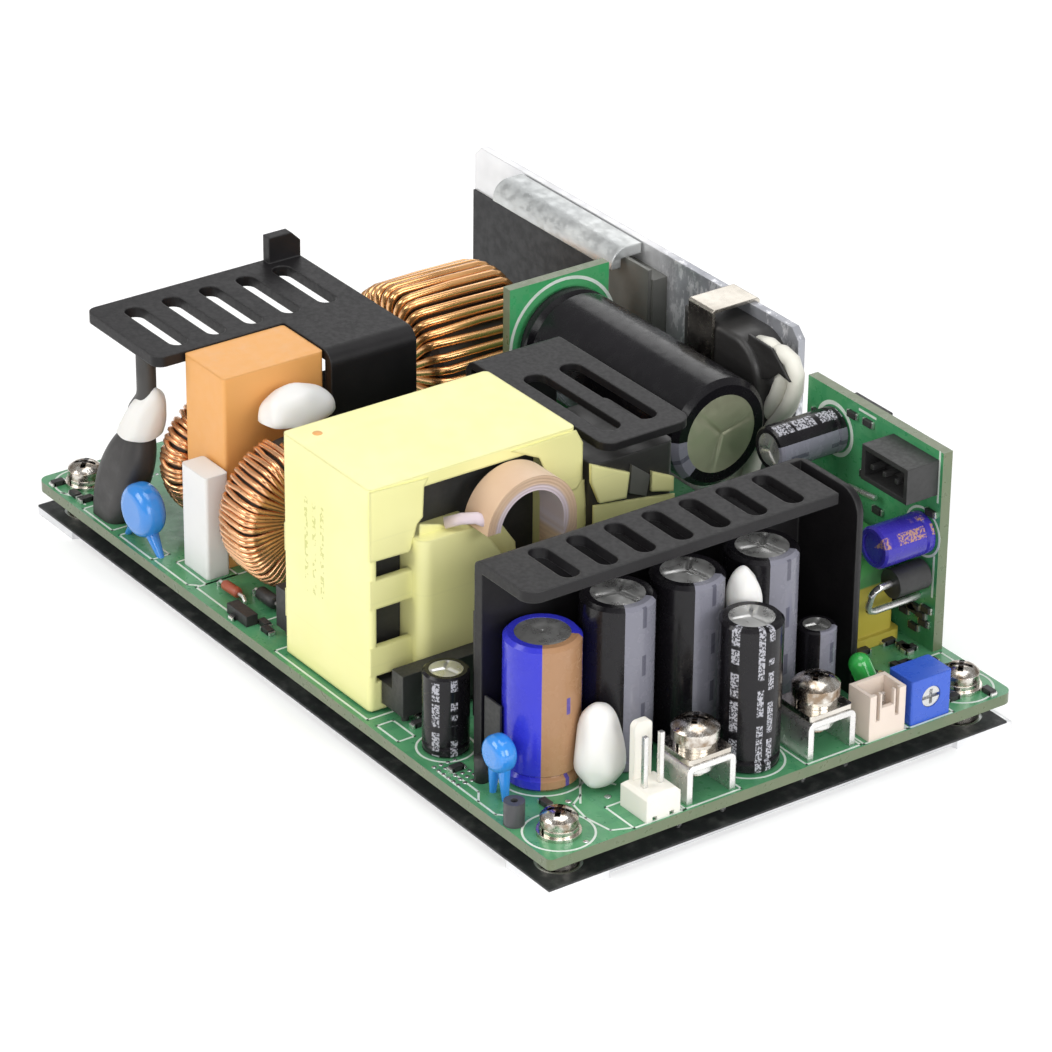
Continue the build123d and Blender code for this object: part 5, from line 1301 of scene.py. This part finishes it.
# On the daughter board: (x, z) places and half sizes, with how far they stand out from its face
faceChips = {
    "places": [(47.4, 20.6), (22.6, 25.4), (30.2, 28.2), (33.6, 28.3), (37.2, 20.6), (33.4, 20.4),
               (36.4, 16.2)],
    "field": {"count": 14, "first": (38.0, 47.8), "second": (1.5, 6.2)},
    "long": 0.8, "high": 0.45, "deep": 0.6, "endFrom": 0.75, "endTo": 1.1, "endDeep": 0.4,
}


def scattered(field):
    first, second = field["first"], field["second"]
    return [(random.uniform(*first), random.uniform(*second)) for chip in range(field["count"])]


def layChips(ends, face):
    bodies = Build()
    random.seed(chips["seed"])
    spots, taken = chips["places"] + scattered(chips["corner"]), footprints()
    spots += [(x, y) for x, y in scattered(chips["nearEdge"]) if isFree(x, y, taken, chips["apart"])]
    for x, y in spots:
        lengthways = random.random() < chips["lengthways"]
        sizes = (chips["long"], chips["wide"])
        long, wide = sizes if lengthways else reversed(sizes)
        bodies.box(overDeck(x - long, y - wide), overDeck(x + long, y + wide, chips["high"]))
        for side in (-1, 1):
            endX, endY = (x + side * long, y) if lengthways else (x, y + side * wide)
            halfX, halfY = (chips["end"], wide) if lengthways else (long, chips["end"])
            top = overDeck(endX + halfX, endY + halfY, chips["endHigh"])
            ends.box(overDeck(endX - halfX, endY - halfY), top)
    long, high = faceChips["long"], faceChips["high"]
    near, far = faceChips["endFrom"], faceChips["endTo"]
    for x, z in faceChips["places"] + scattered(faceChips["field"]):
        bodies.box(overDeck(x - long, face - faceChips["deep"], z - high), overDeck(x + long, face, z + high))
        for left, right in ((x - far, x - near), (x + near, x + far)):
            ends.box(overDeck(left, face - faceChips["endDeep"], z - high), overDeck(right, face, z + high))
    makePiece("chipBodies", bodies, "blackPackage", smooth=False)


# Little parts that lie on the main board, on bent leads
axialParts = {
    "diode": {"from": (-14.5, -31.3), "to": (-10.5, -31.3), "radius": 1.0, "finish": "blackPackage"},
    "resistor": {"from": (-19.6, -33.9), "to": (-16.1, -33.7), "radius": 0.75, "finish": "redCoat"},
}
axialShape = {
    "lift": 0.3, "along": (0, 0.08, 0.92, 1), "swell": (0.8, 1, 1, 0.8), "sides": 20,
    "bend": 1.5, "corner": 0.5, "lead": 0.3,
}


def layAxialParts(ends):
    bend, corner = axialShape["bend"], axialShape["corner"]
    for name, part in axialParts.items():
        build = Build()
        (x, y), (farX, farY) = part["from"], part["to"]
        high, wide = part["radius"] + axialShape["lift"], part["radius"] * mm
        longX, longY = farX - x, farY - y
        axis = [overDeck(x + longX * share, y + longY * share, high) for share in axialShape["along"]]
        build.tube(axis, [wide * swell for swell in axialShape["swell"]], axialShape["sides"])
        makePiece(name + "Body", build, part["finish"])
        lead = [
            (x - bend, y, 0), (x - bend, y, high - corner), (x - bend + corner, y, high),
            (farX + bend - corner, farY, high), (farX + bend, farY, high - corner), (farX + bend, farY, 0),
        ]
        ends.tube([overDeck(*point) for point in lead], axialShape["lead"] * mm)


# The daughter board's bright leads: the diode's, with y from the diode's own end, and a straight link
diodeLead = {
    "bends": [(46.9, 3.4, 11.4), (46.9, 1.7, 11.4), (46.75, 0.8, 10.9), (46.6, 0.42, 10.3),
              (46.0, 0.42, 8.3), (45.85, 0.8, 7.6), (45.7, 1.7, 7.2)],
    "foot": (45.7, 7.2), "radius": 0.50, "sides": 10,
}
wireLink = {"ends": [(31.2, 18.0), (37.0, 18.6)], "off": 1.2, "radius": 0.4, "sides": 10}


def bendLeads(ends, face):
    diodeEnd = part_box("board_diode")[0].y / mm
    footX, footZ = diodeLead["foot"]
    bends = [overDeck(x, diodeEnd + y, z) for x, y, z in diodeLead["bends"]]
    ends.tube(bends + [overDeck(footX, face, footZ)], diodeLead["radius"] * mm, diodeLead["sides"])
    link = [overDeck(x, face - wireLink["off"], z) for x, z in wireLink["ends"]]
    ends.tube(link, wireLink["radius"] * mm, wireLink["sides"])


blackPost = {
    "place": (42.4, -33.8), "profile": [(0.2, 0), (1.0, 0), (1.0, 3.4), (0.8, 3.6), (0, 3.6)], "sides": 20,
}
# Print on the upright boards: lines and rings as (x, z) on the daughter board, one ring as (y, z)
uprightPrint = {
    "lines": [[(48.4, 30.0), (48.4, 22.6)], [(48.3, 14.2), (48.3, 8.2)], [(31.4, 29.4), (34.8, 29.4)]],
    "width": 0.35,
    "rings": [(26.3, 24.4, 3.75, 0.6), (45.7, 17.0, 3.5, 0.35)],
    "bigRing": {"place": (23.6, 23.2), "radius": 9.1, "width": 0.5, "sides": 60},
}


def makeSmallParts():
    ends = Build()
    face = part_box("daughter_board")[0].y / mm
    layChips(ends, face)
    layAxialParts(ends)
    bendLeads(ends, face)
    makePiece("tinnedEnds", ends, "tinPlate", smooth=False)
    post = Build()
    post.turned(inMetres(blackPost["profile"]), overDeck(*blackPost["place"]), upward, blackPost["sides"])
    makePiece("blackPost", post, "blackPackage")
    silk, outward = Build(), (0, -1, 0)
    for path in uprightPrint["lines"]:
        silk.strip([overDeck(x, face, z) for x, z in path], uprightPrint["width"], outward)
    for x, z, radius, width in uprightPrint["rings"]:
        silk.ring(overDeck(x, face, z), radius, width, outward)
    ring = uprightPrint["bigRing"]
    place = overDeck(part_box("capacitor_board")[1].x / mm, *ring["place"])
    silk.ring(place, ring["radius"], ring["width"], (1, 0, 0), ring["sides"])
    makePiece("uprightPrint", silk, "silkWhite", smooth=False)
    print("small parts set")


# Tape folded over the transformer's end and the coil under the middle heatsink: outlines as (y, z)
tapeFlaps = {
    "leftFold": {"face": 20.22, "thick": 0.22, "outline": [
        (-36.2, 33.0), (-27.1, 32.6), (-27.8, 31.4), (-28.0, 27.1), (-28.9, 26.3), (-30.0, 22.6),
        (-36.2, 22.8)]},
    "rightFold": {"face": 20.22, "thick": 0.22, "outline": [
        (-13.8, 32.6), (-9.4, 30.4), (-8.1, 27.4), (-5.6, 23.8), (-3.2, 24.0), (-2.3, 25.0), (-2.3, 30.7),
        (-3.4, 32.8)]},
    "lowFold": {"face": 20.22, "thick": 0.16, "outline": [
        (-5.8, 24.2), (-1.9, 25.0), (-1.4, 18.2), (-5.2, 15.0)]},
    "column": {"face": 20.22, "thick": 0.25, "outline": [
        (-29.3, 6.6), (-28.5, 26.2), (-24.1, 24.9), (-15.8, 22.9), (-13.2, 19.1), (-12.4, 6.6)]},
    "coilPlate": {"face": 21.85, "thick": 0.6, "outline": [
        (-2.3, 28.2), (4.1, 25.2), (3.6, 21.5), (-0.8, 22.0), (-2.2, 25.4)]},
    "coilStrip": {"face": 21.85, "thick": 0.5, "finish": "greyPackage", "slot": "grey package", "outline": [
        (4.5, 26.2), (7.6, 23.8), (7.0, 20.8), (4.2, 22.0)]},
    "coilTag": {"face": 21.85, "thick": 0.5, "outline": [
        (7.9, 24.2), (11.6, 22.4), (11.6, 20.2), (7.9, 21.2)]},
    "coilBand": {"face": 21.85, "thick": 0.25, "outline": [
        (-1.6, 15.0), (-1.6, 21.7), (6.2, 20.6), (12.0, 19.6), (12.0, 15.0)]},
}
leadTail = {
    "path": [(24.8, -20.6, 26.0), (23.6, -21.7, 26.5), (22.2, -23.1, 26.2), (20.7, -24.7, 25.4)],
    "radius": 0.85, "flat": 0.6, "sides": 12,
}
tapeDot = {"place": (2.5, -32.6, 33.2), "profile": [(0.7, 0), (0.6, 0.06), (0, 0.08)], "sides": 18}


def makeTapeFlaps():
    for name, flap in tapeFlaps.items():
        build = Build()
        build.plate([overDeck(flap["face"], y, z) for y, z in flap["outline"]], (flap["thick"] * mm, 0, 0))
        makePiece(name, build, flap.get("finish", "lemonTape"), smooth=False)
    tail = Build()
    path = [overDeck(*point) for point in leadTail["path"]]
    tail.tube(path, leadTail["radius"] * mm, leadTail["sides"], leadTail["flat"])
    makePiece("leadTail", tail, "lilacServing")
    dot = Build()
    dot.turned(inMetres(tapeDot["profile"]), overDeck(*tapeDot["place"]), upward, tapeDot["sides"])
    makePiece("tapeDot", dot, "orangeCase")
    print("tape flaps folded:", len(tapeFlaps))


# The taped device's two leads bow out of its end before they turn down, with a loose flap of tape
leadBow = {
    "path": [(13.0, 31.0), (15.4, 31.6), (17.4, 31.2), (18.4, 29.6), (18.3, 27.2), (17.2, 24.4), (15.0, 21.2),
             (12.3, 17.9), (10.6, 15.6)],
    "shifts": (0.0, -2.9), "behind": 35.3, "radius": 1.2, "sides": 16,
}
leadFlap = {
    "outline": [(9.5, 32.6), (14.8, 32.4), (18.9, 29.0), (16.4, 29.4), (14.4, 27.6), (9.5, 26.0)],
    "behind": 33.75, "thick": 0.35,
}
barFilm = {"low": (-51.3, 36.35, 22.0), "high": (-25.6, 36.62, 30.4)}
# Dark plates of painted shade at the bottom of each cross recess: half sizes of an arm, and its depth under
# the head's top
recessShadeSpots = {
    "corner_screws": [(58.42, -33.02), (-58.42, -33.02), (58.42, 33.02), (-58.42, 33.02)],
    "terminal_screws": [(58.8, -11.9), (58.8, 7.8)],
}
recessShadePlate = {"depth": 0.75, "long": 1.48, "wide": 0.33, "thick": 0.04, "turns": (45, 135)}


def makeLeadsAndShades():
    sleeves = Build()
    for shift in leadBow["shifts"]:
        path = [overDeck(x + shift, leadBow["behind"], z) for x, z in leadBow["path"]]
        sleeves.tube(path, leadBow["radius"] * mm, leadBow["sides"])
    makePiece("bowedSleeves", sleeves, "whiteSleeve")
    flap = Build()
    outline = [overDeck(x, leadFlap["behind"], z) for x, z in leadFlap["outline"]]
    flap.plate(outline, (0, leadFlap["thick"] * mm, 0))
    makePiece("leadFlap", flap, "blackTape", smooth=False)
    film = Build()
    film.box(overDeck(*barFilm["low"]), overDeck(*barFilm["high"]))
    makePiece("barFilm", film, "blackFilm", smooth=False)
    # dark plates of painted shade down in the screws' cross recesses
    shade, thick = Build(), (0, 0, recessShadePlate["thick"] * mm)
    for node, spots in recessShadeSpots.items():
        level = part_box(node)[1].z - recessShadePlate["depth"] * mm
        for x, y in spots:
            middle = Vector((x * mm, y * mm, level))
            for turn in recessShadePlate["turns"]:
                along = Vector(compass(turn)) * recessShadePlate["long"] * mm
                side = Vector(compass(turn + 90)) * recessShadePlate["wide"] * mm
                shade.bar(middle, middle, along, side, thick)
    makePiece("crossShades", shade, "blackPackage", smooth=False)
    print("leads and recesses set")


buildStudio(studio)
placeCamera(photoView)
dressNodes()
makeWindings()
makeGlue()
makeLids()
makeBoardPrint()
makeSolderDots()
makeSmallParts()
makeTapeFlaps()
makeLeadsAndShades()
makeFloor(studio)
bpy.context.scene.view_settings.view_transform = "Standard"
bpy.context.view_layer.update()
